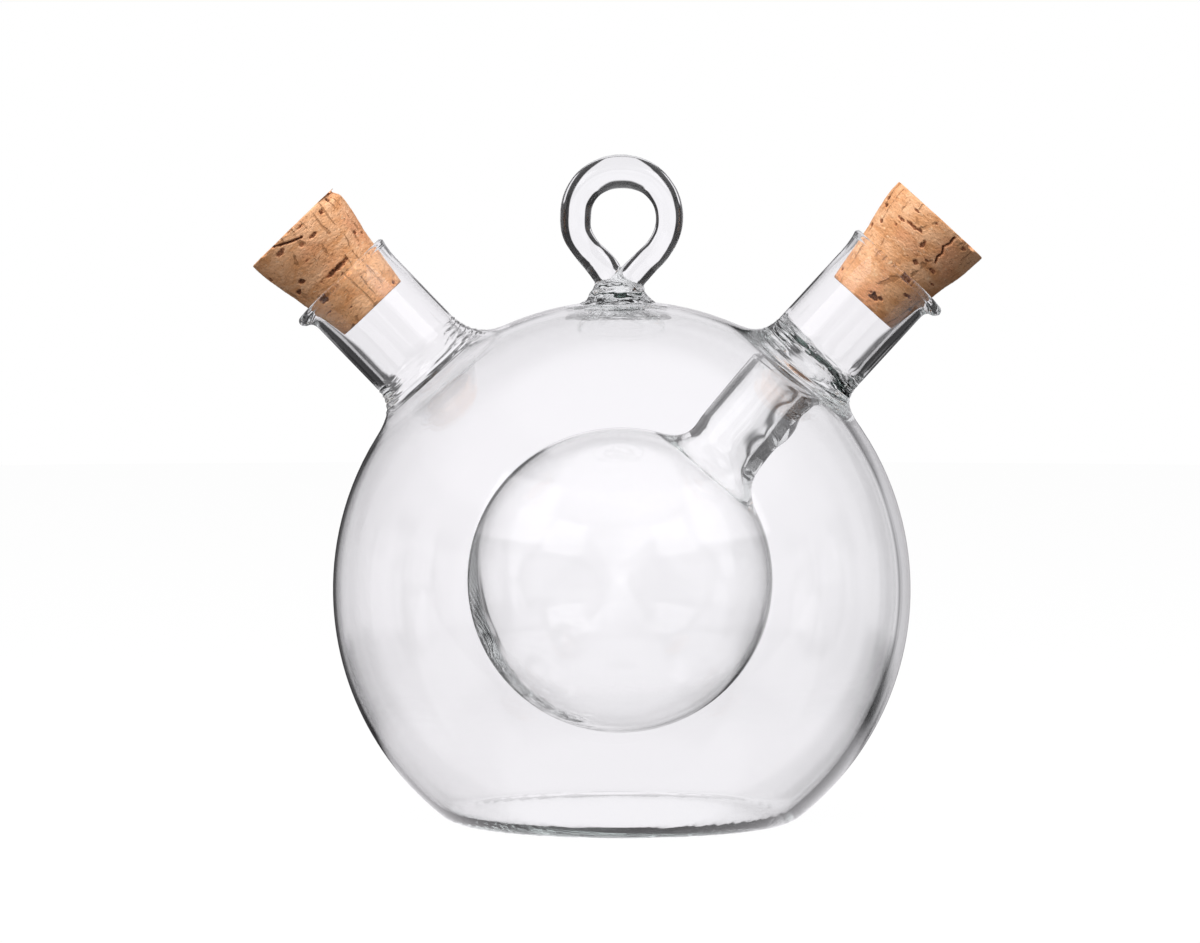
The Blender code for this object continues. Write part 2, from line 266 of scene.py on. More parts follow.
def bead_of(neck):
    """The rolled rim's section: distance of its middle from the axis, its height and its radius."""
    bead = LIP_BEAD * (neck.radius - neck.bore) / 2
    return (neck.radius + neck.bore) / 2 + LIP_FLARE, neck.rim - bead, bead


def lip_profile(neck):
    """From the bore, over the rolled rim, to the outside, as (radius, height)."""
    middle, top, bead = bead_of(neck)
    last = top - 0.8 * bead
    inside = []
    outside = []
    for share in np.linspace(0.0, 1.0, 10):
        swell = LIP_FLARE * share ** 2
        inside.append((neck.bore + swell, last - LIP_FLARE_HEIGHT * (1 - share)))
        outside.append((neck.radius + swell, last - LIP_FLARE_HEIGHT * (1 - share)))
    rim = [
        (middle - bead * math.cos(angle), top + bead * math.sin(angle))
        for angle in np.radians(np.linspace(-28.0, 208.0, 17))
    ]
    return inside + rim + outside[::-1]


def outer_fillet(neck):
    """From the neck's outside, through the seam, to the bulb, as (radius, height)."""
    foot_height = math.sqrt(BULB_RADIUS ** 2 - neck.foot ** 2)
    slope = neck.foot / BULB_RADIUS
    start = (neck.radius, neck.seam)
    end = (neck.foot, foot_height)
    pull_start = (neck.radius, neck.seam - FILLET_PULL)
    pull_end = (neck.foot - FILLET_REACH * math.sqrt(1 - slope ** 2), foot_height + FILLET_REACH * slope)
    return bezier(start, pull_start, pull_end, end, FILLET_STEPS)


def bulb_rings(part, radius, first, last, steps):
    """Circles of a sphere, from one neck's foot circle to the other's, all cut by planes through one line.

    first and last are (lean, circle radius) pairs. Their planes meet in a line above the sphere, and the
    planes between them turn about it, so the rings never cross. The two given circles are left out.
    """
    lean_a, circle_a = first
    lean_b, circle_b = last
    far_a = math.sqrt(radius ** 2 - circle_a ** 2)
    far_b = math.sqrt(radius ** 2 - circle_b ** 2)
    normals = np.array([[math.sin(lean_a), math.cos(lean_a)], [math.sin(lean_b), math.cos(lean_b)]])
    pivot = np.linalg.solve(normals, np.array([far_a, far_b]))
    turned_b = lean_b + math.pi if lean_b < lean_a else lean_b - math.pi
    rings = []
    for step in range(1, steps):
        lean = lean_a + (turned_b - lean_a) * step / steps
        far = pivot[0] * math.sin(lean) + pivot[1] * math.cos(lean)
        ring_radius = math.sqrt(radius ** 2 - far ** 2)
        centre_z = BULB_CENTRE.z + far * math.cos(lean)
        rings.append((part, far * math.sin(lean), centre_z, lean, ring_radius, 0.0))
    return rings


# %% [markdown]
# ## Stem and ball
# The stem leans a little less than its neck, and it was never quite true: its upper left wall is thin and
# straight, and its lower right wall is thick and wavy, with a lens of glass half way. The thick wall
# shows as a dark band, and the band is as wide as the wall, because light that enters there is turned
# back at the bore.

# %% Stem and ball rings
SEAL_HEIGHT = 0.0535
BALL_OPENING = math.radians(24.0)
STEM_FOOT = 0.0352
JUNCTION_PULL = 0.0026


def stem_ring(part, height, radius, offset):
    """A ring around the stem, its height counted from the ball's centre, set over to the upper left."""
    centre = BALL_CENTRE + along(STEM_LEAN) * height
    away = Vector((-math.cos(STEM_LEAN), 0.0, math.sin(STEM_LEAN)))
    centre += away * offset * float(smooth_step(height, 0.027, 0.038))
    return (part, centre.x, centre.z, STEM_LEAN, radius, height)


def ball_rings(part, radius):
    """Rings of a sphere from its far pole to the stem."""
    rings = []
    for step in range(BALL_STEPS + 1):
        angle = math.pi + (BALL_OPENING - math.pi) * step / BALL_STEPS
        height = radius * math.cos(angle)
        centre = BALL_CENTRE + along(STEM_LEAN) * height
        ring_radius = radius * math.sin(angle) if step else 0.0
        rings.append((part, centre.x, centre.z, STEM_LEAN, ring_radius, height))
    return rings


def junction():
    """Concave fillet from the ball's opening circle up to the stem, as (radius, height)."""
    start = (BALL_RADIUS * math.sin(BALL_OPENING), BALL_RADIUS * math.cos(BALL_OPENING))
    pull = (start[0] - JUNCTION_PULL, start[1] + JUNCTION_PULL * math.tan(BALL_OPENING))
    end = (STEM_RADIUS, STEM_FOOT)
    return [start] + bezier(start, pull, (STEM_RADIUS, STEM_FOOT - 0.0030), end, JUNCTION_STEPS)


def set_in(outer, first_wall, last_wall):
    """A profile set in from another by a wall that changes evenly on the way."""
    outer = np.array(outer)
    ahead = np.gradient(outer, axis=0)
    ahead /= np.linalg.norm(ahead, axis=1)[:, None]
    wall = np.linspace(first_wall, last_wall, len(outer))
    return outer + wall[:, None] * np.stack([ahead[:, 1], -ahead[:, 0]], axis=-1)


def mouth_profile(neck):
    """The seam's inner wall, from the cavity up into the bore: the outer wall's curve, set in by the wall."""
    outer = [(neck.radius, neck.seam)] + outer_fillet(neck)
    inner = set_in(outer, neck.radius - neck.bore, BULB_RADIUS - CAVITY_RADIUS)
    return [tuple(point) for point in inner[::-1]]


def stem_rings():
    """From the ball's far pole, over its outside and up the stem's, to the underside of the ring seal."""
    rings = ball_rings("ball_outside", BALL_RADIUS)
    stem = junction()[1:]
    stem += line((STEM_RADIUS, STEM_FOOT), (STEM_TOP_RADIUS, SEAL_HEIGHT), STEM_STEPS)
    for radius, height in stem:
        rings.append(stem_ring("stem_outside", height, radius, STEM_OFFSET))
    seal_far = math.sqrt(CAVITY_RADIUS ** 2 - SEAL_CIRCLE ** 2)
    start = (STEM_TOP_RADIUS, SEAL_TOP)
    end = (SEAL_CIRCLE, seal_far)
    for radius, height in bezier(start, (0.0084, 0.0572), (0.0098, seal_far + 0.0006), end, SEAL_STEPS):
        rings.append(RIGHT.ring("seal_underside", height, radius))
    return rings


def left_neck_rings(mouth):
    """From the cavity up the left bore, over the lip and down the outside to the bulb."""
    lip = lip_profile(LEFT)
    middle = len(lip) // 2
    rings = []
    for radius, height in mouth + line(mouth[-1], lip[0], NECK_STEPS):
        rings.append(LEFT.ring("left_bore", height, radius, NECK_BORE_SET_OVER))
    for radius, height in lip[1:middle]:
        rings.append(LEFT.ring("left_lip", height, radius, NECK_BORE_SET_OVER))
    for radius, height in lip[middle:]:
        rings.append(LEFT.ring("left_lip", height, radius))
    for radius, height in line(lip[-1], (LEFT.radius, LEFT.seam), NECK_STEPS) + outer_fillet(LEFT):
        rings.append(LEFT.ring("left_outside", height, radius))
    return rings


def right_neck_rings():
    """From the bulb up the right neck's outside, over the lip and down the bore through the ring seal."""
    lip = lip_profile(RIGHT)
    middle = len(lip) // 2
    rings = []
    outside = ([(RIGHT.radius, RIGHT.seam)] + outer_fillet(RIGHT))[::-1]
    outside += line((RIGHT.radius, RIGHT.seam), lip[-1], NECK_STEPS)
    for radius, height in outside:
        rings.append(RIGHT.ring("right_outside", height, radius))
    for radius, height in lip[-2:middle:-1]:
        rings.append(RIGHT.ring("right_lip", height, radius))
    for radius, height in lip[middle::-1]:
        rings.append(RIGHT.ring("right_lip", height, radius, NECK_BORE_SET_OVER))
    throat = line(lip[0], (RIGHT.bore, RIGHT_SEAM_BORE_TOP), NECK_STEPS)
    throat += bezier(throat[-1], (RIGHT.bore, 0.0634), (0.0081, 0.0614), (0.0071, 0.0574), THROAT_STEPS)
    for radius, height in throat:
        rings.append(RIGHT.ring("right_bore", height, radius, NECK_BORE_SET_OVER))
    return rings


def hollow_rings():
    """Down the stem's bore and round the inside of the ball to its far pole."""
    foot_inside = set_in(junction(), BALL_HOLLOW_RADIUS - BALL_RADIUS, STEM_BORE - STEM_RADIUS)
    bore = line((STEM_BORE, SEAL_HEIGHT), (STEM_BORE, STEM_FOOT), STEM_BORE_STEPS)
    rings = []
    for radius, height in bore + [tuple(point) for point in foot_inside[-2:0:-1]]:
        rings.append(stem_ring("stem_bore", height, radius, STEM_BORE_OFFSET))
    return rings + ball_rings("ball_inside", BALL_HOLLOW_RADIUS)[::-1]


def glass_rings():
    """Every ring of the skin, from the ball's outside to the ball's inside."""
    mouth = mouth_profile(LEFT)
    inner_circles = ((RIGHT.radial_lean, SEAL_CIRCLE), (LEFT.radial_lean, mouth[0][0]))
    outer_circles = ((RIGHT.radial_lean, RIGHT.foot), (LEFT.radial_lean, LEFT.foot))
    cavity = bulb_rings("cavity", CAVITY_RADIUS, *inner_circles, CAVITY_STEPS)
    outside = bulb_rings("bulb", BULB_RADIUS, *outer_circles, BULB_STEPS)
    inner = stem_rings() + cavity + left_neck_rings(mouth)
    return inner + outside[::-1] + right_neck_rings() + hollow_rings()


rings = glass_rings()
print("rings:", len(rings))

# %% [markdown]
# ## Rolling the grid
# The grid has one row for each ring and one column for each step around. A point's place on its ring
# counts from the lower side, so the lower side of both necks, where the spouts are, is column nought.

# %% Roll the grid into the skin
parts = np.array([ring[0] for ring in rings])
ring_data = np.array([ring[1:] for ring in rings])
angles = np.linspace(0.0, 2.0 * math.pi, AROUND + 1)
lean = ring_data[:, 2:3]
radius = np.repeat(ring_data[:, 3:4], AROUND + 1, axis=1)
height = np.repeat(ring_data[:, 4:5], AROUND + 1, axis=1)
turn = np.repeat(angles[None, :], len(rings), axis=0)
x = ring_data[:, 0:1] + radius * np.cos(turn) * np.cos(lean)
y = radius * np.sin(turn) * np.ones_like(lean)
z = ring_data[:, 1:2] - radius * np.cos(turn) * np.sin(lean)


def rows(*names):
    return np.isin(parts, names)


# %% [markdown]
# ## The flat base and the uneven wall
# The bulb stands on a flat with a rounded corner. Each point of the sphere is drawn in along its own
# radius until it lies on that outline. The same is done for the cavity with its own floor, and the whole
# cavity is set a little to the left, so that the right wall is more than twice as thick as the left one,
# as on the real bottle.

# %% Base and cavity
# Where the shift of the cavity fades: up the left neck's bore, round the ring seal and towards the top.
MOUTH_SHIFT = (0.0660, 0.0575)
SEAL_SHIFT = (0.0086, SEAL_CIRCLE)
TOP_SHIFT = (0.108, 0.080)


def reach_of_bottle(below, sphere, floor_drop, corner):
    """Distance from the bulb's centre to the outline, for angles below the horizon in radians."""
    inner = floor_drop - corner
    across = math.sqrt((sphere - corner) ** 2 - inner ** 2)
    first = math.atan2(inner, across)
    last = math.atan2(floor_drop, across)
    half = across * np.cos(below) + inner * np.sin(below)
    rounded = half + np.sqrt(np.maximum(half ** 2 - across ** 2 - inner ** 2 + corner ** 2, 0.0))
    flat = floor_drop / np.maximum(np.sin(below), 0.05)
    return np.where(below < first, sphere, np.where(below < last, rounded, flat))


def draw_to_base(chosen, sphere, floor_drop, corner):
    dx, dy, dz = x[chosen], y[chosen], z[chosen] - BULB_CENTRE.z
    distance = np.sqrt(dx ** 2 + dy ** 2 + dz ** 2)
    below = np.arcsin(np.clip(-dz / distance, -1.0, 1.0))
    share = reach_of_bottle(below, sphere, floor_drop, corner) / sphere
    x[chosen] = dx * share
    y[chosen] = dy * share
    z[chosen] = BULB_CENTRE.z + dz * share


draw_to_base(rows("bulb"), BULB_RADIUS, BULB_CENTRE.z, BASE_CORNER)
draw_to_base(rows("cavity"), CAVITY_RADIUS, BULB_CENTRE.z - CAVITY_FLOOR, CAVITY_CORNER)
for names, share in (
    (("cavity",), 1.0),
    (("left_bore",), smooth_step(height[rows("left_bore")], *MOUTH_SHIFT)),
    (("seal_underside",), smooth_step(radius[rows("seal_underside")], *SEAL_SHIFT)),
):
    moved = rows(*names)
    x[moved] -= CAVITY_SHIFT * share * smooth_step(z[moved], *TOP_SHIFT)
print("lowest point of the glass, mm:", round(float(z.min()) * 1000, 3))


# %% [markdown]
# ## Spouts, ripples and waves
# A heated rim is pulled out with a rod to make the pouring spout. The seams were melted together with a
# small flame while the glass turned, which leaves fine rings of uneven glass inside and out. The stem's
# lower wall has its waves, and the thick far end of the ball has fine streaks where the gather was cut
# off.

# %% Spouts
def push_outwards(chosen, amount):
    """Moves points of chosen rings away from their ring's centre by an amount for each point."""
    local_x = x[chosen] - ring_data[chosen, 0:1]
    local_y = y[chosen]
    local_z = z[chosen] - ring_data[chosen, 1:2]
    length = np.maximum(np.sqrt(local_x ** 2 + local_y ** 2 + local_z ** 2), 1e-9)
    x[chosen] += amount * local_x / length
    y[chosen] += amount * local_y / length
    z[chosen] += amount * local_z / length


SPOUT_SHARPNESS = 7
SPOUT_HEIGHT = 0.0046
SPOUT_DROOP = 0.55
SPOUT_THICKENING = 0.45


def pull_spout(neck, names):
    """Pulls the lower side of the rim out and down, and lets its bead grow thicker towards the tip."""
    chosen = rows(*names)
    middle, top, bead = bead_of(neck)
    share = smooth_step(height[chosen], neck.rim - SPOUT_HEIGHT, top)
    lower = np.maximum(0.0, np.cos(turn[chosen])) ** SPOUT_SHARPNESS
    in_bead = smooth_step(height[chosen], top - 2.5 * bead, top - 0.5 * bead)
    swell = SPOUT_THICKENING * lower * in_bead
    push_outwards(chosen, neck.spout * share ** 1.6 * lower + swell * (radius[chosen] - middle))
    sink = SPOUT_DROOP * neck.spout * share * lower - swell * (height[chosen] - top)
    x[chosen] -= sink * math.sin(neck.lean)
    z[chosen] -= sink * math.cos(neck.lean)


pull_spout(LEFT, ("left_lip", "left_bore", "left_outside"))
pull_spout(RIGHT, ("right_lip", "right_bore", "right_outside"))
print("spouts, mm:", round(LEFT.spout * 1000, 2), round(RIGHT.spout * 1000, 2))


# %% Melted rings of the seams
SEAM_FADE = 0.0012


def wander(values, seed, reach):
    """Smooth noise along an array of angles that closes on itself."""
    return np.array([noise_at(reach * math.cos(v), reach * math.sin(v), seed) for v in values])


def ripple_seam(chosen, low, high, depth, wavelength, seed):
    """Fine rings around a seam, each of which wanders and fades on its way round."""
    around = wander(angles, seed, 1.3)[None, :]
    fade = 0.55 + 0.9 * wander(angles, seed + 7.0, 2.2)[None, :]
    level = height[chosen]
    window = smooth_step(level, low, low + SEAM_FADE) * smooth_step(level, high, high - SEAM_FADE)
    phase = 2.0 * math.pi * (level + 0.0016 * around) / wavelength
    second = 2.0 * math.pi * (level - 0.0011 * around) / (wavelength * 0.57)
    fade = fade * (0.25 + 1.5 * np.cos(turn[chosen]) ** 4)
    push_outwards(chosen, depth * window * fade * (np.sin(phase) + 0.6 * np.sin(second + seed)))
    print("rippled rings:", int((window[:, 0] > 0.0).sum()))


# The lowest and highest place, how deep the rings are, how far apart, and a seed of their own.
ripple_seam(rows("left_outside"), 0.0585, 0.0660, 0.00010, 0.0011, 1.0)
ripple_seam(rows("left_bore"), 0.0580, 0.0655, 0.00009, 0.0013, 2.0)
ripple_seam(rows("right_outside"), 0.0585, 0.0652, 0.00006, 0.0012, 3.0)
ripple_seam(rows("right_bore"), 0.0590, 0.0668, 0.00010, 0.0011, 4.0)

# %% Waves of the stem's lower wall
# Place along the stem and distance from its axis.
STEM_WALL_OUTSIDE = (
    (0.0350, 0.0070), (0.0380, 0.0068), (0.0419, 0.0067), (0.0448, 0.0073), (0.0473, 0.0072),
    (0.0500, 0.0064), (0.0522, 0.0067), (0.0542, 0.0069), (0.0560, 0.0071),
)
STEM_WALL_BORE = (
    (0.0345, 0.0050), (0.0380, 0.0047), (0.0424, 0.00475), (0.0470, 0.00455), (0.0505, 0.0046),
    (0.0560, 0.0049),
)
STEM_WALL_FADE = (0.0562, 0.0545)


def bend_wall(part, table, plain, low_cosine, full_cosine):
    """Sets the lower side of the stem's rings to distances from its axis that were measured."""
    chosen = rows(part)
    wanted = smooth_curve(table, height[chosen])
    first = table[0][0]
    weight = smooth_step(np.cos(turn[chosen]), low_cosine, full_cosine)
    weight *= smooth_step(height[chosen], first - 0.0005, first + 0.0030)
    weight *= smooth_step(height[chosen], *STEM_WALL_FADE)
    bend = (wanted - plain) * weight
    push_outwards(chosen, bend)
    print(part, "bent by up to, mm:", round(float(np.abs(bend).max()) * 1000, 2))


bored = rows("stem_bore")
y[bored] *= 1.0 + STEM_BORE_DEPTH * smooth_step(height[bored], 0.0290, 0.0350)
bend_wall("stem_outside", STEM_WALL_OUTSIDE, STEM_RADIUS - STEM_OFFSET, 0.60, 0.97)
bend_wall("stem_bore", STEM_WALL_BORE, STEM_BORE - STEM_BORE_OFFSET, 0.0, 0.75)

# %% Streaks at the ball's far end
THICK_BEARINGS = np.radians((148.0, 165.0, 180.0, 195.0, 206.0, 210.0, 235.0, 262.0))
THICK_EXTRAS = (0.0, 0.00010, 0.00032, 0.00075, 0.00115, 0.00065, 0.00040, 0.0)
THICK_HALF_WIDTH = (0.015, 0.003)
STREAKED = (math.radians(209.0), math.radians(258.0))
STREAK_DEPTH = 0.00028
STREAK_HALF_WIDTH = (0.013, 0.0078)

hollow = rows("ball_inside")
out_x = x[hollow] - BALL_CENTRE.x
out_z = z[hollow] - BALL_CENTRE.z
distance = np.sqrt(out_x ** 2 + y[hollow] ** 2 + out_z ** 2)
bearing = np.mod(np.arctan2(out_z, out_x), math.tau)
thick = np.interp(bearing, THICK_BEARINGS, THICK_EXTRAS)
thick *= smooth_step(np.abs(y[hollow]), *THICK_HALF_WIDTH)
streaked = smooth_step(bearing, STREAKED[0] - 0.03, STREAKED[0] + 0.05)
streaked *= smooth_step(bearing, STREAKED[1] + 0.10, STREAKED[1] - 0.10)
streaked *= smooth_step(np.abs(y[hollow]), *STREAK_HALF_WIDTH)
streaks = np.array([
    noise_at(b * 5.0, p * 900.0, 3.0) + 0.5 * noise_at(b * 11.0, p * 2100.0, 9.0)
    for b, p in zip(bearing.ravel(), y[hollow].ravel())
]).reshape(thick.shape)
inward = thick - STREAK_DEPTH * streaked * streaks
for axis_values, out in ((x, out_x), (y, y[hollow]), (z, out_z)):
    axis_values[hollow] -= inward * out / distance
print("thickest extra of the ball's far wall, mm:", round(float(inward.max()) * 1000, 2))

# %% Build the skin's mesh
skin = roll("glass_bottle", x, y, z)

# %% [markdown]
# ## The loop handle
# The handle is a solid rod, bent round a mandrel until its two legs come together in a point, and fused
# to the bulb with a small gather of glass. Its middle line is a smooth curve through a few places, with a
# thickness at each, for the rod is thickest at the top, where it was pulled least. The right leg passes
# in front of the left one. The foot is a disc that is extruded upwards ring by ring, each ring smaller
# than the last. A fine remesh melts rod and foot into one, as the flame did, and a boolean union fuses
# them to the bulb, so that no inner face stays between them.

# %% The rod
# Place along the rod, X, Z, Y, thickness and how square the side towards the hole is (2 is round).
ROD_ROUTE = (
    (0.0, -0.00120, 0.10950, -0.0009, 0.00290, 2.0), (0.5, 0.00080, 0.11180, -0.0012, 0.00300, 2.2),
    (1.0, 0.00280, 0.11400, -0.0012, 0.00295, 2.4), (1.5, 0.00500, 0.11630, -0.0010, 0.00282, 3.0),
    (2.0, 0.00745, 0.11880, -0.0004, 0.00275, 3.6), (2.5, 0.00935, 0.12215, 0.0, 0.00278, 4.4),
    (3.0, 0.00994, 0.12580, 0.0, 0.00286, 5.0), (3.5, 0.00905, 0.12960, 0.0, 0.00295, 4.0),
    (4.0, 0.00650, 0.13290, 0.0, 0.00315, 2.4), (4.5, 0.00330, 0.13460, 0.0, 0.00340, 2.0),
    (5.0, -0.00010, 0.13510, 0.0, 0.00352, 2.0), (5.5, -0.00350, 0.13455, 0.0, 0.00347, 2.0),
    (6.0, -0.00680, 0.13260, 0.0, 0.00335, 2.2), (6.5, -0.00895, 0.12940, 0.0, 0.00326, 2.5),
    (7.0, -0.00957, 0.12580, 0.0, 0.00322, 2.7), (7.5, -0.00925, 0.12235, 0.0, 0.00310, 2.7),
    (8.0, -0.00730, 0.11900, 0.0004, 0.00292, 2.7), (8.5, -0.00520, 0.11670, 0.0010, 0.00310, 2.6),
    (9.0, -0.00360, 0.11480, 0.0012, 0.00320, 2.4), (9.5, -0.00240, 0.11270, 0.0011, 0.00310, 2.0),
    (10.0, -0.00140, 0.11030, 0.0009, 0.00300, 2.0),
)
ROD_RINGS = 260
ROD_AROUND = 48


def signed_power(values, power):
    return np.sign(values) * np.abs(values) ** power


def bent_rod():
    """The rod: rings square to its route, closed at both ends, and flattened on the side towards the hole."""
    at = np.linspace(0.0, ROD_ROUTE[-1][0], ROD_RINGS)
    middle_x, middle_z, middle_y, thickness, square = smooth_curve(ROD_ROUTE, at)
    ahead_x = np.gradient(middle_x)
    ahead_z = np.gradient(middle_z)
    length = np.hypot(ahead_x, ahead_z)
    thickness[[0, -1]] = 0.0
    around = np.linspace(0.0, math.tau, ROD_AROUND + 1)[None, :]
    power = np.where(np.cos(around) < 0.0, 2.0 / square[:, None], 1.0)
    out = thickness[:, None] * signed_power(np.cos(around), power)
    px = middle_x[:, None] + out * (ahead_z / length)[:, None]
    pz = middle_z[:, None] - out * (ahead_x / length)[:, None]
    py = middle_y[:, None] + thickness[:, None] * signed_power(np.sin(around), power)
    return roll("rod", px, py, pz)


loop = bent_rod()

# %% The foot, extruded ring by ring
# Radius and height of each ring.
FOOT_OUTLINE = (
    (0.0112, 0.1045), (0.0104, 0.1058), (0.0093, 0.1068), (0.0080, 0.1076), (0.0070, 0.1083),
    (0.0063, 0.1090), (0.0059, 0.1097), (0.0056, 0.1104), (0.0054, 0.1110), (0.0050, 0.1116),
    (0.0042, 0.1121), (0.0030, 0.1124), (0.0014, 0.1125),
)
FOOT_CENTRE = (-0.0007, 0.0, FOOT_OUTLINE[0][1])
FOOT_AROUND = 64

deselect_all()
bpy.ops.mesh.primitive_circle_add(
    vertices=FOOT_AROUND, radius=FOOT_OUTLINE[0][0], location=FOOT_CENTRE, fill_type="NGON",
)
foot = bpy.context.object
bpy.ops.object.mode_set(mode="EDIT")
for before, after in zip(FOOT_OUTLINE, FOOT_OUTLINE[1:]):
    bpy.ops.mesh.extrude_region_move(TRANSFORM_OT_translate={"value": (0.0, 0.0, after[1] - before[1])})
    scale = after[0] / before[0]
    bpy.ops.transform.resize(value=(scale, scale, 1.0))
bpy.ops.mesh.select_all(action="SELECT")
bpy.ops.mesh.normals_make_consistent(inside=False)
bpy.ops.object.mode_set(mode="OBJECT")
print("foot:", len(foot.data.polygons), "faces")

# %% Melt the rod and the foot together
MELT_VOXEL = 0.00032
SOFTEN_PASSES = 6

deselect_all()
for piece in (foot, loop):
    piece.select_set(True)
bpy.context.view_layer.objects.active = loop
bpy.ops.object.join()
bpy.ops.object.transform_apply(location=True, rotation=True, scale=True)
loop.name = "handle_shape"
remesh = loop.modifiers.new("melt", "REMESH")
remesh.mode = "VOXEL"
remesh.voxel_size = MELT_VOXEL
soften = loop.modifiers.new("soften", "SMOOTH")
soften.iterations = SOFTEN_PASSES
soften.factor = 0.5
for name in ("melt", "soften"):
    bpy.ops.object.modifier_apply(modifier=name)
print("handle:", len(loop.data.polygons), "faces")

# %% Lumps of the foot
LUMP_DEPTH = 0.00030
LUMP_FADE = (0.1135, 0.1110)

places = [point.co.copy() for point in loop.data.vertices]
outwards = [point.normal.copy() for point in loop.data.vertices]
for point, place, outward in zip(loop.data.vertices, places, outwards):
    if place.z > LUMP_FADE[0]:
        continue
    low_share = float(smooth_step(place.z, *LUMP_FADE))
    lump = noise_at(place.x * 420.0, place.y * 420.0, place.z * 640.0)
    lump += 0.5 * noise_at(place.x * 900.0, place.y * 900.0, place.z * 1300.0 + 5.0)
    point.co = place + outward * LUMP_DEPTH * low_share * lump
print("lumpy points:", sum(place.z <= LUMP_FADE[0] for place in places))

# %% Fuse the handle to the bottle
deselect_all()
skin.select_set(True)
bpy.context.view_layer.objects.active = skin
fuse = skin.modifiers.new("fuse", "BOOLEAN")
fuse.operation = "UNION"
fuse.solver = "MANIFOLD"
fuse.object = loop
bpy.ops.object.modifier_apply(modifier="fuse")
bpy.data.objects.remove(loop, do_unlink=True)
bpy.ops.object.shade_smooth()
print("fused glass:", len(skin.data.vertices), "points,", len(skin.data.polygons), "faces")

# %% Small helpers for node maths
def math_node(tree, operation, *inputs):
    node = tree.nodes.new("ShaderNodeMath")
    node.operation = operation
    for index, value in enumerate(inputs):
        if isinstance(value, (int, float)):
            node.inputs[index].default_value = value
        else:
            tree.links.new(value, node.inputs[index])
    return node.outputs["Value"]


def soft_edge(tree, value, low, high):
    """0 at low, 1 at high, with a smooth ramp between. low may be the larger one."""
    node = tree.nodes.new("ShaderNodeMapRange")
    node.interpolation_type = "SMOOTHSTEP"
    node.inputs["From Min"].default_value = low
    node.inputs["From Max"].default_value = high
    tree.links.new(value, node.inputs["Value"])
    return node.outputs["Result"]


# %% [markdown]
# ## Glass
# Laboratory-type glass bends light a little less than window glass and is almost without colour. A trace
# of absorption in the volume darkens only the long paths, so the edges read a little grey-green while the
# walls stay clear.

# %% Glass material
GLASS_IOR = 1.47
GLASS_COLOUR = (0.80, 0.86, 0.84, 1.0)
GLASS_DENSITY = 25.0
GLASS_SHADOW = (0.995, 0.995, 0.995, 1.0)


def clear_glass():
    material = bpy.data.materials.new("clear_glass")
    material.use_nodes = True
    nodes = material.node_tree.nodes
    shader = nodes["Principled BSDF"]
    shader.inputs["Base Color"].default_value = (1.0, 1.0, 1.0, 1.0)
    shader.inputs["Roughness"].default_value = 0.0
    shader.inputs["IOR"].default_value = GLASS_IOR
    shader.inputs["Transmission Weight"].default_value = 1.0
    absorb = nodes.new("ShaderNodeVolumeAbsorption")
    absorb.inputs["Color"].default_value = GLASS_COLOUR
    absorb.inputs["Density"].default_value = GLASS_DENSITY
    links = material.node_tree.links
    links.new(absorb.outputs["Volume"], nodes["Material Output"].inputs["Volume"])
    light_path = nodes.new("ShaderNodeLightPath")
    thin = nodes.new("ShaderNodeBsdfTransparent")
    thin.inputs["Color"].default_value = GLASS_SHADOW
    choose = nodes.new("ShaderNodeMixShader")
    links.new(light_path.outputs["Is Shadow Ray"], choose.inputs["Fac"])
    links.new(shader.outputs["BSDF"], choose.inputs[1])
    links.new(thin.outputs["BSDF"], choose.inputs[2])
    links.new(choose.outputs["Shader"], nodes["Material Output"].inputs["Surface"])
    return material


skin.data.materials.clear()
skin.data.materials.append(clear_glass())
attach(skin, "glass_body")
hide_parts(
    "outer_bulb", "left_neck", "left_neck_collar", "right_neck", "right_neck_collar",
    "inner_stem", "inner_ball", "loop_handle", "handle_foot",
)
print("glass:", skin.data.materials[0].name, "IOR", GLASS_IOR)

# %% [markdown]
# ## The corks
# The corks are cut from bark and ground to a taper. The bark's breathing pores run across a cork,
# parallel to its ends, as ragged red-brown grooves, and its yearly layers show as thin wavy lines. A cork
# is a grid rolled round the neck's axis, as the glass was, and then dented: broad and fine noise, long
# pores and small pits, a deep crack and chipped edges. How deep each point lies is kept as an attribute,
# because the pores are also darker than the bark, and their deepest parts and the crack carry painted shade.

# %% Cork shapes
CORK_AROUND = 350
CORK_LENGTH = 0.0236
CORK_END_RADIUS = 0.0081
CORK_TAPER = 0.155
CORK_EDGE = 0.00025
CORK_BULGE = 0.00030
CORK_BROAD = 0.09
CORK_FINE = 0.06
CORK_CHIPS = 1.3
CORK_SIDE_STEPS = 190
CORK_END_STEPS = 34
CORK_TOP_STEPS = 46

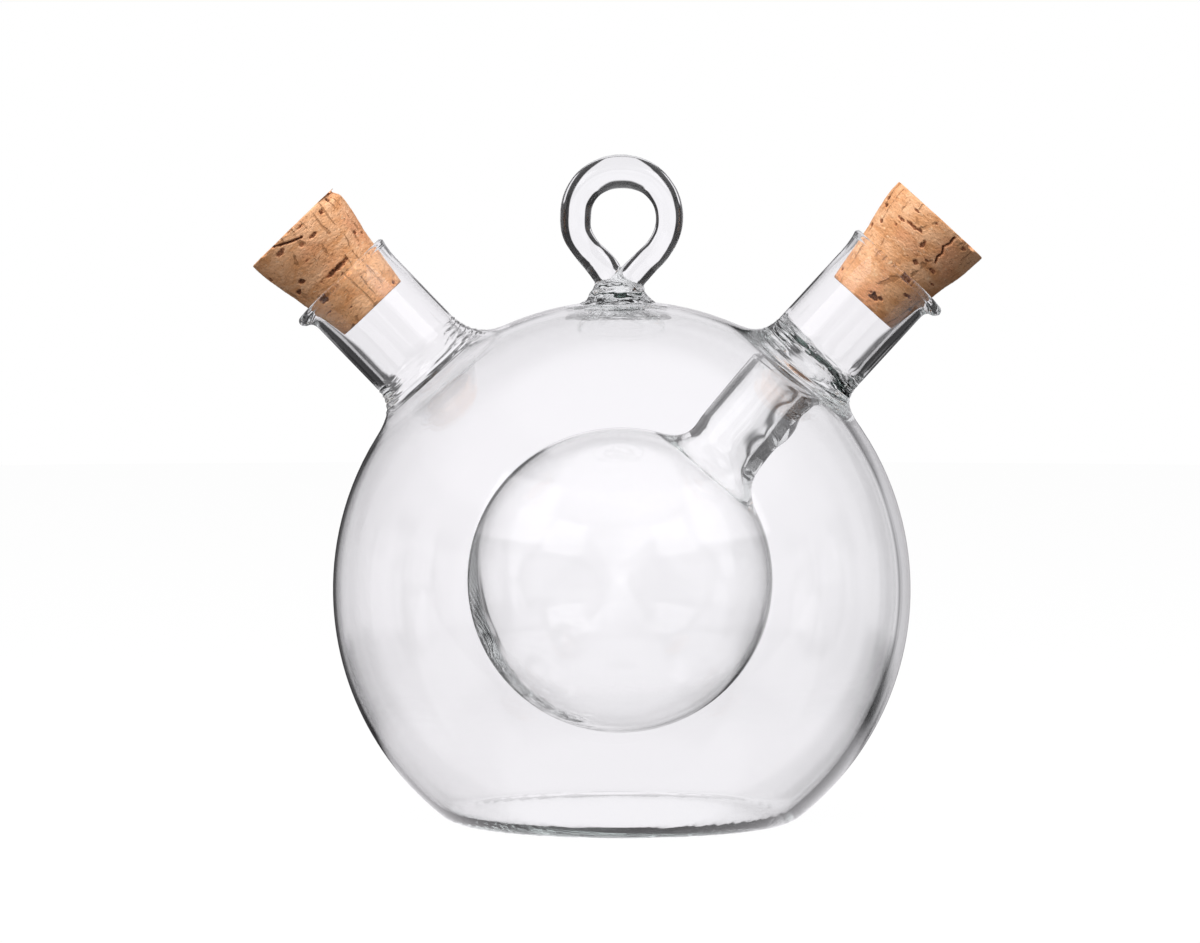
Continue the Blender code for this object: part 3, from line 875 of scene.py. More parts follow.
# Share of the length from the top, place across from -1 (upper side) to 1 (lower side) as the camera sees
# it, half length around and half width along in millimetres, depth in millimetres.
LEFT_PORES = (
    (0.085, -0.60, 0.9, 0.75, 0.75), (0.180, -0.21, 1.5, 0.45, 0.55), (0.170, 0.06, 0.7, 0.5, 0.35),
    (0.417, -0.84, 0.7, 0.5, 0.5), (0.460, -0.95, 0.5, 0.3, 0.4), (0.530, -0.07, 4.4, 0.62, 0.75),
    (0.397, 0.62, 1.1, 0.8, 0.9), (0.448, 0.82, 1.2, 0.6, 0.6), (0.200, 0.957, 1.4, 0.7, 0.7),
    (0.649, 0.565, 1.4, 0.8, 0.6), (0.615, -0.137, 1.3, 0.5, 0.7), (0.960, -0.85, 0.5, 0.6, 0.6),
    (0.090, 0.445, 1.5, 0.7, 0.45), (0.044, -0.14, 0.9, 0.25, 0.4), (0.045, -0.84, 0.8, 0.6, 0.7),
    (0.300, 0.20, 0.8, 0.25, 0.25), (0.760, 0.72, 1.2, 0.3, 0.3), (0.860, 0.30, 0.9, 0.25, 0.25),
)
RIGHT_PORES = (
    (0.171, -0.97, 1.2, 0.7, 0.7), (0.231, -0.94, 1.1, 0.5, 0.6), (0.362, -0.865, 0.7, 0.5, 0.5),
    (0.442, -0.97, 1.0, 0.6, 0.6), (0.232, -0.56, 1.5, 0.40, 0.40), (0.210, -0.36, 1.7, 0.45, 0.50),
    (0.196, -0.17, 1.2, 0.50, 0.45), (0.089, -0.47, 1.3, 0.35, 0.45), (0.298, -0.597, 0.5, 0.4, 0.4),
    (0.056, -0.05, 0.5, 0.35, 0.45), (0.265, 0.02, 0.55, 1.0, 0.55), (0.428, 0.17, 0.9, 0.6, 0.5),
    (0.380, 0.50, 1.5, 0.6, 0.45), (0.350, 0.30, 0.7, 0.3, 0.4), (0.890, 0.02, 1.4, 0.9, 0.9),
    (0.870, 0.16, 1.0, 0.6, 0.6), (0.904, -0.95, 0.8, 0.5, 0.6), (0.590, 0.27, 1.6, 0.55, 0.4),
    (0.688, 0.549, 1.2, 0.5, 0.5), (0.764, 0.866, 1.3, 0.5, 0.5), (0.060, 0.62, 1.0, 0.5, 0.4),
    (0.470, 0.75, 1.4, 0.35, 0.35),
)
# A crack is a line of places (share, across). Its edge and its depth are in millimetres.
LEFT_CRACK = ((0.010, 0.46), (0.045, 0.33), (0.075, 0.20), (0.105, 0.06), (0.119, -0.03))
RIGHT_CRACK = ((0.038, 0.36), (0.10, 0.37), (0.16, 0.33), (0.21, 0.41), (0.26, 0.39), (0.31, 0.45))
CRACK_EDGE = (0.30, 0.05)
CRACK_DEPTH = 0.75


def cork_profile():
    """From the middle of the small end, round its edge, up the side and over the top, as (radius, height)."""
    top_radius = CORK_END_RADIUS + CORK_TAPER * CORK_LENGTH
    shares = np.linspace(0.0, 1.0, CORK_END_STEPS)
    profile = [(share * (CORK_END_RADIUS - CORK_EDGE), 0.0) for share in shares]
    profile += [
        (CORK_END_RADIUS - CORK_EDGE * (1 - math.sin(angle)), CORK_EDGE * (1 - math.cos(angle)))
        for angle in np.linspace(0.3, math.pi / 2, 5)
    ]
    side = line(profile[-1], (top_radius, CORK_LENGTH - CORK_EDGE), CORK_SIDE_STEPS)
    profile += [
        (radius + CORK_BULGE * math.sin(math.pi * max(0.0, height / CORK_LENGTH - 0.55) / 0.45), height)
        for radius, height in side
    ]
    profile += [
        (top_radius - CORK_EDGE * (1 - math.cos(angle)), CORK_LENGTH - CORK_EDGE * (1 - math.sin(angle)))
        for angle in np.linspace(0.3, math.pi / 2, 5)
    ]
    shares = np.linspace(1.0, 0.0, CORK_TOP_STEPS)[1:]
    profile += [(share * (top_radius - CORK_EDGE), CORK_LENGTH) for share in shares]
    return np.array(profile)


def rough(points, scale, seed):
    """Noise for an array of points."""
    return np.array([noise_at(px * scale + seed, py * scale, pz * scale) for px, py, pz in points])


def all_pores(pores, seed):
    """The placed pores, then small and middling ones by chance.

    Each has its share of the length, its place round, two half sizes and a depth.
    """
    chance = np.random.default_rng(int(seed))
    spots = [(share, -math.acos(across), *size) for share, across, *size in pores]
    for count, low_size, high_size in ((46, 0.12, 0.30), (26, 0.30, 0.95)):
        middling = high_size > 0.5
        for _ in range(count):
            long_half = chance.uniform(low_size, high_size)
            # The middling ones stay on the back, which the photograph doesn't show.
            place = chance.uniform(0.1, math.pi - 0.1) if middling else chance.uniform(0.0, math.tau)
            spots.append((
                chance.uniform(0.03, 0.97), place, long_half, long_half * chance.uniform(0.3, 0.8),
                chance.uniform(0.12, 0.35) * (1.6 if middling else 1.0),
            ))
    return spots


def cork_dents(turn_at, share_at, radius_at, points, pores, crack, seed):
    """Depth in millimetres and darkness of every point of a cork's side."""
    ragged = rough(points, 1100.0, seed) + 0.6 * rough(points, 2600.0, seed + 5.0)
    depth = np.zeros(len(points))
    dark = np.zeros(len(points))
    length_mm = CORK_LENGTH * 1000.0
    for share, place, long_half, wide_half, deep in all_pores(pores, seed):
        around = np.remainder(turn_at - place + math.pi, math.tau) - math.pi
        around_mm = around * radius_at * 1000.0
        along_mm = (share_at - share) * length_mm
        near = (np.abs(around_mm) < long_half * 1.9) & (np.abs(along_mm) < wide_half * 1.9 + 0.2)
        reach = np.hypot(around_mm[near] / long_half, along_mm[near] / wide_half) + 0.55 * ragged[near]
        window = smooth_step(reach, 1.0, 0.45)
        depth[near] = np.maximum(depth[near], deep * window * (0.75 + 0.5 * ragged[near]))
        dark[near] = np.maximum(dark[near], window * min(1.0, 0.35 + deep))
    turned = np.remainder(turn_at + math.pi, math.tau) - math.pi
    here = np.stack([turned, share_at * length_mm], axis=-1)
    scale = np.array([float(np.mean(radius_at)) * 1000.0, 1.0])
    for (share_a, across_a), (share_b, across_b) in zip(crack, crack[1:]):
        start = np.array([-math.acos(across_a), share_a * length_mm])
        end = np.array([-math.acos(across_b), share_b * length_mm])
        run = (end - start) * scale
        offset = (here - start) * scale
        t = np.clip((offset @ run) / (run @ run), 0.0, 1.0)
        away = np.linalg.norm(offset - t[:, None] * run, axis=1) + 0.12 * ragged
        window = smooth_step(away, *CRACK_EDGE)
        depth = np.maximum(depth, CRACK_DEPTH * window)
        dark = np.maximum(dark, window)
    return depth, dark


def keep_pits(piece, px, py, pz, dark):
    """Keeps the darkness of each point as an attribute. Points are matched by their rounded places."""
    keys = {}
    for point, value in zip(np.round(np.stack([px, py, pz], axis=-1).reshape(-1, 3) * 1e6), dark.ravel()):
        keys[tuple(point)] = float(value)
    coordinates = np.empty(len(piece.data.vertices) * 3)
    piece.data.vertices.foreach_get("co", coordinates)
    values = [keys.get(tuple(point), 0.0) for point in np.round(coordinates.reshape(-1, 3) * 1e6)]
    pits = piece.data.attributes.new("pits", "FLOAT", "POINT")
    pits.data.foreach_set("value", values)
    print("pitted points:", sum(value > 0.5 for value in values))


def make_cork(name, neck, bottom, pores, crack, worn_edge, seed):
    """A cork on a neck's axis; bottom is the distance of its small end from the crossing of the necks."""
    profile = cork_profile()
    turn_of = np.linspace(0.0, math.tau, CORK_AROUND + 1)
    ring_radius = np.repeat(profile[:, :1], CORK_AROUND + 1, axis=1)
    ring_height = np.repeat(profile[:, 1:], CORK_AROUND + 1, axis=1)
    around = np.repeat(turn_of[None, :], len(profile), axis=0)
    local = np.stack([ring_radius * np.cos(around), ring_radius * np.sin(around), ring_height], axis=-1)
    local = local.reshape(-1, 3)
    on_side = smooth_step(ring_height, -0.001, 0.0002) * smooth_step(ring_radius, 0.0066, 0.0076)
    share_at = 1.0 - ring_height / CORK_LENGTH
    radius_at = np.maximum(ring_radius, 0.004)
    depth, dark = cork_dents(around.ravel(), share_at.ravel(), radius_at.ravel(), local, pores, crack, seed)
    shape = ring_radius.shape
    depth = depth.reshape(shape) * on_side
    dark = dark.reshape(shape) * on_side

    broad = rough(local, 230.0, seed + 11.0).reshape(shape)
    fine = rough(local, 1500.0, seed + 17.0).reshape(shape)
    edge = smooth_step(np.abs(share_at - 0.5), 0.475, 0.5) * on_side
    chips = np.clip(rough(local, 420.0, seed + 23.0).reshape(shape) - 0.12, 0.0, 1.0) * edge
    worn = worn_edge * smooth_step(share_at, 0.10, 0.01) * smooth_step(share_at, 0.0, 0.006)
    worn *= smooth_step(np.cos(around), -0.50, -0.95) * on_side
    inward = (depth - CORK_BROAD * broad + CORK_FINE * fine + CORK_CHIPS * chips + worn) / 1000.0
    wall = np.maximum(ring_radius - inward * smooth_step(ring_radius, 0.0, 0.002), 0.0)
    tall = ring_height + (0.10 * broad - 0.9 * chips) / 1000.0 * smooth_step(share_at, 0.06, 0.0)

    facing = neck.lean if neck.side > 0 else neck.lean + math.pi
    start = NECK_CROSSING + along(neck.lean) * bottom
    out_x = wall * np.cos(around)
    px = start.x + tall * math.sin(neck.lean) + out_x * math.cos(facing)
    py = wall * np.sin(around)
    pz = start.z + tall * math.cos(neck.lean) - out_x * math.sin(facing)
    piece = roll(name, px, py, pz)
    keep_pits(piece, px, py, pz, dark)
    return piece


left_cork = make_cork("left_cork_bark", LEFT, 0.07446, LEFT_PORES, LEFT_CRACK, 0.9, 3.0)
right_cork = make_cork("right_cork_bark", RIGHT, 0.07417, RIGHT_PORES, RIGHT_CRACK, 0.15, 8.0)

# %% [markdown]
# ## Cork
# Bark is a warm tan that wanders between honey and pink. Fine dark specks and short pale flecks lie
# everywhere, thin brown lines follow the yearly layers, and the pores from the mesh's own attribute turn
# red-brown, with painted shade, nearly black, where they are deepest.

# %% Helpers for colours and patterns
def mix_colour(tree, factor, first, second, blend="MIX"):
    node = tree.nodes.new("ShaderNodeMix")
    node.data_type = "RGBA"
    node.blend_type = blend
    for key, value in (("Factor", factor), ("A", first), ("B", second)):
        if isinstance(value, (int, float, tuple)):
            node.inputs[key].default_value = value
        else:
            tree.links.new(value, node.inputs[key])
    return node.outputs["Result"]


def noise_value(tree, vector, scale, detail=2.0, distortion=0.0):
    node = tree.nodes.new("ShaderNodeTexNoise")
    node.inputs["Scale"].default_value = scale
    node.inputs["Detail"].default_value = detail
    node.inputs["Distortion"].default_value = distortion
    tree.links.new(vector, node.inputs["Vector"])
    return node.outputs["Fac"]


def mapped(tree, vector, rotation=(0.0, 0.0, 0.0), scale=(1.0, 1.0, 1.0)):
    node = tree.nodes.new("ShaderNodeMapping")
    node.inputs["Rotation"].default_value = rotation
    node.inputs["Scale"].default_value = scale
    tree.links.new(vector, node.inputs["Vector"])
    return node.outputs["Vector"]


def marked(tree, colour, mask, strength, mark):
    """The colour, with a mark's own colour laid over it where the mask is 1."""
    return mix_colour(tree, math_node(tree, "MULTIPLY", mask, strength), colour, mark)


# %% Bark colours
BARK_HONEY = (0.63, 0.294, 0.130, 1.0)
BARK_PALE = (0.80, 0.456, 0.260, 1.0)
BARK_PINK = (0.70, 0.30, 0.160, 1.0)
SPECKLE_BROWN = (0.33, 0.130, 0.055, 1.0)
FLECK_CREAM = (0.93, 0.66, 0.43, 1.0)
CELL_BROWN = (0.30, 0.115, 0.045, 1.0)
LAYER_BROWN = (0.30, 0.125, 0.05, 1.0)
PORE_RED = (0.165, 0.048, 0.020, 1.0)
PORE_TAN = (0.50, 0.205, 0.100, 1.0)
# Painted shade for the deepest pores and the crack.
PIT_SHADE_BLACK = (0.045, 0.015, 0.008, 1.0)
# Painted light: a gain that lightens the part of a cork inside the neck, which the glass darkens.
INSERTED_PAINTED_LIGHT = (1.24, 1.20, 1.10, 1.0)
RIM_SOFTNESS = 0.0006
CORK_ROUGHNESS = 0.85
CORK_SPECULAR = 0.25
CORK_BUMP = 0.00022


def mottled_bark(tree, upright, squashed):
    """Bark that wanders between honey and pink, with dark specks, pale flecks and a net of cell walls."""
    broad = noise_value(tree, squashed, 170.0, 3.0, 0.6)
    colour = mix_colour(tree, soft_edge(tree, broad, 0.30, 0.70), BARK_HONEY, BARK_PALE)
    blush = soft_edge(tree, noise_value(tree, upright, 95.0, 2.0), 0.50, 0.72)
    colour = marked(tree, colour, blush, 0.55, BARK_PINK)
    speckle = soft_edge(tree, noise_value(tree, squashed, 1500.0, 3.0), 0.56, 0.74)
    colour = marked(tree, colour, speckle, 0.70, SPECKLE_BROWN)
    fleck = soft_edge(tree, noise_value(tree, squashed, 900.0, 2.0, 1.0), 0.60, 0.75)
    colour = marked(tree, colour, fleck, 0.65, FLECK_CREAM)

    wobble = tree.nodes.new("ShaderNodeTexNoise")
    wobble.inputs["Scale"].default_value = 700.0
    tree.links.new(squashed, wobble.inputs["Vector"])
    scaled = tree.nodes.new("ShaderNodeVectorMath")
    scaled.operation = "SCALE"
    scaled.inputs["Scale"].default_value = 0.0016
    tree.links.new(wobble.outputs["Color"], scaled.inputs[0])
    shaken = tree.nodes.new("ShaderNodeVectorMath")
    shaken.operation = "ADD"
    tree.links.new(squashed, shaken.inputs[0])
    tree.links.new(scaled.outputs["Vector"], shaken.inputs[1])
    cells = tree.nodes.new("ShaderNodeTexVoronoi")
    cells.feature = "DISTANCE_TO_EDGE"
    cells.inputs["Scale"].default_value = 480.0
    tree.links.new(shaken.outputs["Vector"], cells.inputs["Vector"])
    cell_walls = soft_edge(tree, cells.outputs["Distance"], 0.055, 0.015)
    patches = soft_edge(tree, noise_value(tree, upright, 240.0, 2.0), 0.50, 0.62)
    cell_walls = math_node(tree, "MULTIPLY", cell_walls, patches)
    return broad, marked(tree, colour, cell_walls, 0.60, CELL_BROWN)


def yearly_layers(tree, upright, layer_turn):
    """A mask of thin wavy lines, broken here and there."""
    wave = tree.nodes.new("ShaderNodeTexWave")
    wave.wave_type = "BANDS"
    wave.bands_direction = "Y"
    wave.inputs["Scale"].default_value = 130.0
    wave.inputs["Distortion"].default_value = 7.0
    wave.inputs["Detail"].default_value = 3.0
    wave.inputs["Detail Scale"].default_value = 1.4
    layered = mapped(tree, upright, (0.0, 0.0, layer_turn), (1.0, 1.0, 0.35))
    tree.links.new(layered, wave.inputs["Vector"])
    lines = soft_edge(tree, wave.outputs["Fac"], 0.10, 0.02)
    broken = soft_edge(tree, noise_value(tree, upright, 330.0, 2.0), 0.46, 0.60)
    return math_node(tree, "MULTIPLY", lines, broken)


def pored(tree, colour, squashed):
    """The colour with the mesh's own pores in it: red-brown, with painted shade nearly black where they are
    deepest.
    """
    pits = tree.nodes.new("ShaderNodeAttribute")
    pits.attribute_name = "pits"
    grain = soft_edge(tree, noise_value(tree, squashed, 1900.0, 2.0), 0.38, 0.62)
    # Painted shade: the deepest pores and the crack turn nearly black.
    deepest_shade = soft_edge(tree, pits.outputs["Fac"], 0.62, 1.0)
    inside = marked(tree, mix_colour(tree, grain, PORE_RED, PORE_TAN), deepest_shade, 0.75, PIT_SHADE_BLACK)
    return marked(tree, colour, soft_edge(tree, pits.outputs["Fac"], 0.10, 0.60), 0.92, inside)


def cork_material(name, neck, layer_turn):
    """Cork whose layers follow the neck's axis. Below the rim its colour is painted lighter, as painted light
    for the part that the glass of the neck darkens.
    """
    material = bpy.data.materials.new(name)
    material.use_nodes = True
    tree = material.node_tree
    shader = tree.nodes["Principled BSDF"]
    place = tree.nodes.new("ShaderNodeTexCoord")
    upright = mapped(tree, place.outputs["Object"], rotation=(0.0, -neck.lean, 0.0))
    squashed = mapped(tree, upright, scale=(1.0, 1.0, 2.2))
    broad, colour = mottled_bark(tree, upright, squashed)
    layers = yearly_layers(tree, upright, layer_turn)
    colour = marked(tree, colour, layers, 0.62, LAYER_BROWN)

    on_axis = tree.nodes.new("ShaderNodeSeparateXYZ")
    tree.links.new(upright, on_axis.inputs["Vector"])
    rim = (neck.pierce + along(neck.lean) * (neck.rim - BULB_RADIUS)).dot(along(neck.lean))
    # Painted light: below the rim the colour is made lighter, to make up for the light that the glass takes.
    painted_light_below_rim = soft_edge(tree, on_axis.outputs["Z"], rim + RIM_SOFTNESS, rim - RIM_SOFTNESS)
    colour = mix_colour(tree, painted_light_below_rim, colour, INSERTED_PAINTED_LIGHT, "MULTIPLY")
    tree.links.new(pored(tree, colour, squashed), shader.inputs["Base Color"])
    shader.inputs["Roughness"].default_value = CORK_ROUGHNESS
    shader.inputs["Specular IOR Level"].default_value = CORK_SPECULAR

    bump = tree.nodes.new("ShaderNodeBump")
    bump.inputs["Strength"].default_value = 0.9
    bump.inputs["Distance"].default_value = CORK_BUMP
    relief = math_node(tree, "ADD", noise_value(tree, squashed, 1300.0, 4.0), broad)
    relief = math_node(tree, "SUBTRACT", relief, layers)
    tree.links.new(relief, bump.inputs["Height"])
    tree.links.new(bump.outputs["Normal"], shader.inputs["Normal"])
    return material


# %% Dress the corks
for piece, body, name, neck, layer_turn in (
    (left_cork, "left_cork", "left_cork", LEFT, 0.9),
    (right_cork, "right_cork", "right_cork", RIGHT, 0.15),
):
    piece.data.materials.clear()
    piece.data.materials.append(cork_material(f"natural_cork_{name}", neck, layer_turn))
    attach(piece, body)
    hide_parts(name)
print("cork materials:", sum(name.startswith("natural_cork_") for name in bpy.data.materials.keys()))

# %% [markdown]
# ## The studio: what the glass sees
# Clear glass has no colour of its own: its drawing is the picture of the room around it. Seen straight
# through, a thin wall shows the white behind it. At the outline the wall turns the light back at its
# inner face, and shows what stands ten to twenty-five degrees beside the line of sight. A photographer
# therefore sets a narrow white screen behind the glass and black cards beside it. Here the world does
# that for the rays that come from glass: it has white screens with dark gaps between them. The camera
# itself sees plain white all round.

# %% Helpers that both the floor and the room use
WHITE = (1.0, 1.0, 1.0, 1.0)
GLASS_TINT = (0.985, 0.965, 1.0, 1.0)


def at_most_one(tree, value):
    return math_node(tree, "MINIMUM", value, 1.0)


def turned_back_in_wall(tree, path):
    """1 for a ray that has passed two surfaces, or two more than a whole number of walls."""
    left_over = math_node(tree, "MODULO", path.outputs["Transmission Depth"], 4.0)
    return math_node(tree, "COMPARE", left_over, 2.0, 0.5)


def comes_from_glass(tree, path):
    """1 for a ray that left the glass and met nothing matt since."""
    glossy = path.outputs["Is Glossy Ray"]
    from_glass = math_node(tree, "MAXIMUM", glossy, path.outputs["Is Transmission Ray"])
    bounced = at_most_one(tree, path.outputs["Diffuse Depth"])
    return math_node(tree, "MULTIPLY", from_glass, math_node(tree, "SUBTRACT", 1.0, bounced))


# %% [markdown]
# ## The floor
# The floor is white paper that takes the bottle's faint shadow. For the camera and for the glass it
# glows, so that it melts into the background. Beyond the edge of a table the glass's rays pass through it
# and see the room instead.

# %% Floor
FLOOR_RADIUS = 1.2
FLOOR_DROP = 0.0002
TABLE_EDGE = (0.17, 0.26)
MIRRORED_TABLE_EDGE = (0.065, 0.100)
FLOOR_GLOW = 0.95
FLOOR_GREY = 0.9
FLOOR_BOUNCE = 0.15
FLOOR_DIP = 0.07


def floor_paper(tree, path, from_glass, mirrored):
    """Matt paper that takes a shadow, and glows for the camera and for the glass."""
    diffuse = tree.nodes.new("ShaderNodeBsdfDiffuse")
    bounced = at_most_one(tree, path.outputs["Diffuse Depth"])
    bounce_drop = math_node(tree, "MULTIPLY", bounced, FLOOR_BOUNCE - FLOOR_GREY)
    tree.links.new(math_node(tree, "ADD", bounce_drop, FLOOR_GREY), diffuse.inputs["Color"])
    glow = tree.nodes.new("ShaderNodeEmission")
    dip = math_node(tree, "MULTIPLY", from_glass, math_node(tree, "SUBTRACT", 1.0, mirrored))
    dip = math_node(tree, "MULTIPLY", dip, -FLOOR_DIP)
    tree.links.new(math_node(tree, "ADD", dip, 1.0), glow.inputs["Strength"])
    tree.links.new(mix_colour(tree, from_glass, WHITE, GLASS_TINT), glow.inputs["Color"])
    glow_share = math_node(tree, "MULTIPLY", path.outputs["Is Camera Ray"], FLOOR_GLOW)
    glow_share = math_node(tree, "MAXIMUM", glow_share, from_glass)
    paper = tree.nodes.new("ShaderNodeMixShader")
    tree.links.new(glow_share, paper.inputs["Fac"])
    tree.links.new(diffuse.outputs["BSDF"], paper.inputs[1])
    tree.links.new(glow.outputs["Emission"], paper.inputs[2])
    return paper.outputs["Shader"]


def open_share_of_floor(tree, path, from_glass, mirrored):
    """Where the floor lets the glass's rays through to the room, so that it is a table's width for them."""
    place = tree.nodes.new("ShaderNodeTexCoord")
    distance = tree.nodes.new("ShaderNodeVectorMath")
    distance.operation = "LENGTH"
    tree.links.new(place.outputs["Object"], distance.inputs[0])
    beyond = soft_edge(tree, distance.outputs["Value"], *TABLE_EDGE)
    near_edge = soft_edge(tree, distance.outputs["Value"], *MIRRORED_TABLE_EDGE)
    first_wall = math_node(tree, "LESS_THAN", path.outputs["Transmission Depth"], 2.5)
    near_share = math_node(tree, "MULTIPLY", near_edge, math_node(tree, "MAXIMUM", mirrored, first_wall))
    beyond = math_node(tree, "MAXIMUM", beyond, near_share)
    turned_back = math_node(tree, "MULTIPLY", turned_back_in_wall(tree, path), mirrored)
    return math_node(tree, "MULTIPLY", math_node(tree, "MAXIMUM", beyond, turned_back), from_glass)


def floor_material():
    material = bpy.data.materials.new("white_sweep")
    material.use_nodes = True
    tree = material.node_tree
    tree.nodes.clear()
    path = tree.nodes.new("ShaderNodeLightPath")
    from_glass = comes_from_glass(tree, path)
    mirrored = at_most_one(tree, path.outputs["Glossy Depth"])
    clear = tree.nodes.new("ShaderNodeBsdfTransparent")
    sweep = tree.nodes.new("ShaderNodeMixShader")
    tree.links.new(open_share_of_floor(tree, path, from_glass, mirrored), sweep.inputs["Fac"])
    tree.links.new(floor_paper(tree, path, from_glass, mirrored), sweep.inputs[1])
    tree.links.new(clear.outputs["BSDF"], sweep.inputs[2])
    output = tree.nodes.new("ShaderNodeOutputMaterial")
    tree.links.new(sweep.outputs["Shader"], output.inputs["Surface"])
    return material


deselect_all()
bpy.ops.mesh.primitive_circle_add(
    vertices=128, radius=FLOOR_RADIUS, fill_type="NGON", location=(0.0, 0.0, -FLOOR_DROP),
)
floor = bpy.context.object
floor.name = "floor"
floor.data.materials.append(floor_material())
print("floor radius, m:", FLOOR_RADIUS)

# %% [markdown]
# ## The room
# The world's nodes draw the room by direction. Azimuth and elevation are worked out for each ray, and
# soft ramps between two angles make the edges of the screens. Light Path tells how a ray came: straight
# through the glass, mirrored on the outside of a wall, or turned back inside one. Each kind has its own
# room, because the clear middle, the reflections and the dark edge bands of real glass show different
# things. A picture of a room would do the same, but nodes can be tuned by one number at a time.

# %% World nodes
world = bpy.data.worlds.new("studio")
bpy.context.scene.world = world
world.use_nodes = True
tree = world.node_tree
tree.nodes.clear()
coordinates = tree.nodes.new("ShaderNodeTexCoord")
separate = tree.nodes.new("ShaderNodeSeparateXYZ")
tree.links.new(coordinates.outputs["Generated"], separate.inputs["Vector"])
azimuth = math_node(tree, "ARCTAN2", separate.outputs["Y"], separate.outputs["X"])
elevation = math_node(tree, "ARCSINE", separate.outputs["Z"])
path = tree.nodes.new("ShaderNodeLightPath")
surfaces = path.outputs["Transmission Depth"]


def plus(first, second):
    return math_node(tree, "ADD", first, second)


def minus(first, second):
    return math_node(tree, "SUBTRACT", first, second)


def times(first, second):
    return math_node(tree, "MULTIPLY", first, second)


def lighter(first, second):
    return math_node(tree, "MAXIMUM", first, second)


def inverse(value):
    return minus(1.0, value)


def choose(factor, first, second):
    """The first value where the factor is 0, the second where it is 1."""
    node = tree.nodes.new("ShaderNodeMix")
    node.data_type = "FLOAT"
    tree.links.new(factor, node.inputs["Factor"])
    tree.links.new(first, node.inputs["A"])
    tree.links.new(second, node.inputs["B"])
    return node.outputs["Result"]


def beside(first_degrees):
    """Angle between a direction and the nearest of four screens, which stand every 90 degrees."""
    shifted = minus(azimuth, math.radians(first_degrees))
    return math_node(tree, "PINGPONG", shifted, math.radians(45.0))


def ramp(value, low, high):
    """0 at low degrees, 1 at high degrees."""
    return soft_edge(tree, value, math.radians(low), math.radians(high))


def band(value, low, low_full, high_full, high):
    """1 between the two full values in degrees, 0 outside low and high."""
    return times(ramp(value, low, low_full), ramp(value, high, high_full))


# %% Straight rays
# Those that passed two surfaces only come from the solid rod, which gets wider screens.
SCREEN_HALF = 10.0
SCREEN_EDGE = 13.5
ROD_SCREEN_EXTRA = 6.0
SLANTED_HEIGHTS = (-36.0, -32.0, -11.0, -8.0)
CARD_BEARING = 71.0
CARD_HEIGHTS = (-14.0, -9.0, 10.0, 16.0)
CARD_LEVEL = 0.85
LID_LEVEL = 0.4
BELOW_LEVEL = 0.9
DARK_LEVEL = 0.035
LIFT_PER_SURFACE = 0.03

few_surfaces = math_node(tree, "LESS_THAN", surfaces, 2.5)
widen = times(few_surfaces, math.radians(ROD_SCREEN_EXTRA))
slanted_heights = band(elevation, *SLANTED_HEIGHTS)
screen = ramp(minus(beside(0.0), widen), SCREEN_EDGE, SCREEN_HALF)
slanted = ramp(plus(beside(45.0), times(widen, 0.8)), SCREEN_EDGE - 1.5, SCREEN_HALF - 1.0)
screen = lighter(screen, times(slanted, slanted_heights))
right_card = times(ramp(beside(CARD_BEARING), 13.0, 9.0), band(elevation, *CARD_HEIGHTS))
right_card = times(right_card, CARD_LEVEL)
screen = lighter(screen, times(right_card, inverse(few_surfaces)))
screen = times(screen, ramp(elevation, 24.0, 17.0))
lid = times(ramp(elevation, 55.0, 70.0), LID_LEVEL)
below = times(times(ramp(elevation, -15.0, -22.0), inverse(few_surfaces)), BELOW_LEVEL)
extra_surfaces = math_node(tree, "MINIMUM", lighter(minus(surfaces, 4.0), 0.0), 4.0)
lift = plus(times(extra_surfaces, LIFT_PER_SURFACE), 1.0)
straight = times(lighter(lighter(screen, lighter(lid, below)), DARK_LEVEL), lift)
straight = times(straight, inverse(times(ramp(elevation, -4.3, -5.8), FLOOR_DIP)))
print("world nodes with the straight rays:", len(tree.nodes))

# %% Rays mirrored on the outside of a wall
# They see a grey room with dark gaps in it, the card, a small glint and one big softbox on the camera's side.
WALL_LEVEL = 0.50
TOP_LEVEL = 0.80
BOTTOM_DIM = 0.55
GAP = (4.5, 7.0, 17.0, 22.0)
GAP_HEIGHTS = (-24.0, -18.0, 14.0, 22.0)
GAP_DEPTH = 0.92
FRONT_GAP_FILL = 0.75
GLINT_HEIGHTS = (0.0, 2.5, 12.0, 16.0)
SOFTBOX_HEIGHTS = (19.0, 22.0, 42.0, 46.0)
SOFTBOX_MIDDLE = 0.38
SOFTBOX_LEVEL = 3.0

room = plus(times(ramp(elevation, 0.0, 28.0), TOP_LEVEL - WALL_LEVEL), WALL_LEVEL)
room = times(room, inverse(times(ramp(elevation, -8.0, -20.0), BOTTOM_DIM)))
gap = times(band(beside(0.0), *GAP), band(elevation, *GAP_HEIGHTS))
gap = lighter(gap, times(band(beside(45.0), *GAP), slanted_heights))
in_front = soft_edge(tree, separate.outputs["Y"], -0.5, -0.9)
gap = times(gap, inverse(times(in_front, FRONT_GAP_FILL)))
room = times(room, inverse(times(gap, GAP_DEPTH)))
room = lighter(room, right_card)
glint = times(ramp(beside(0.0), 9.0, 6.0), band(elevation, *GLINT_HEIGHTS))
room = lighter(room, glint)
turned_main = math_node(tree, "PINGPONG", minus(azimuth, math.pi / 2), math.pi / 2)
softbox = plus(times(ramp(turned_main, 28.0, 34.0), 1.0 - SOFTBOX_MIDDLE), SOFTBOX_MIDDLE)
softbox = times(softbox, times(ramp(turned_main, 68.0, 64.0), band(elevation, *SOFTBOX_HEIGHTS)))
softbox = times(softbox, soft_edge(tree, separate.outputs["Y"], -0.1, -0.3))
room = lighter(room, times(softbox, SOFTBOX_LEVEL))
print("world nodes with the mirrored rays:", len(tree.nodes))

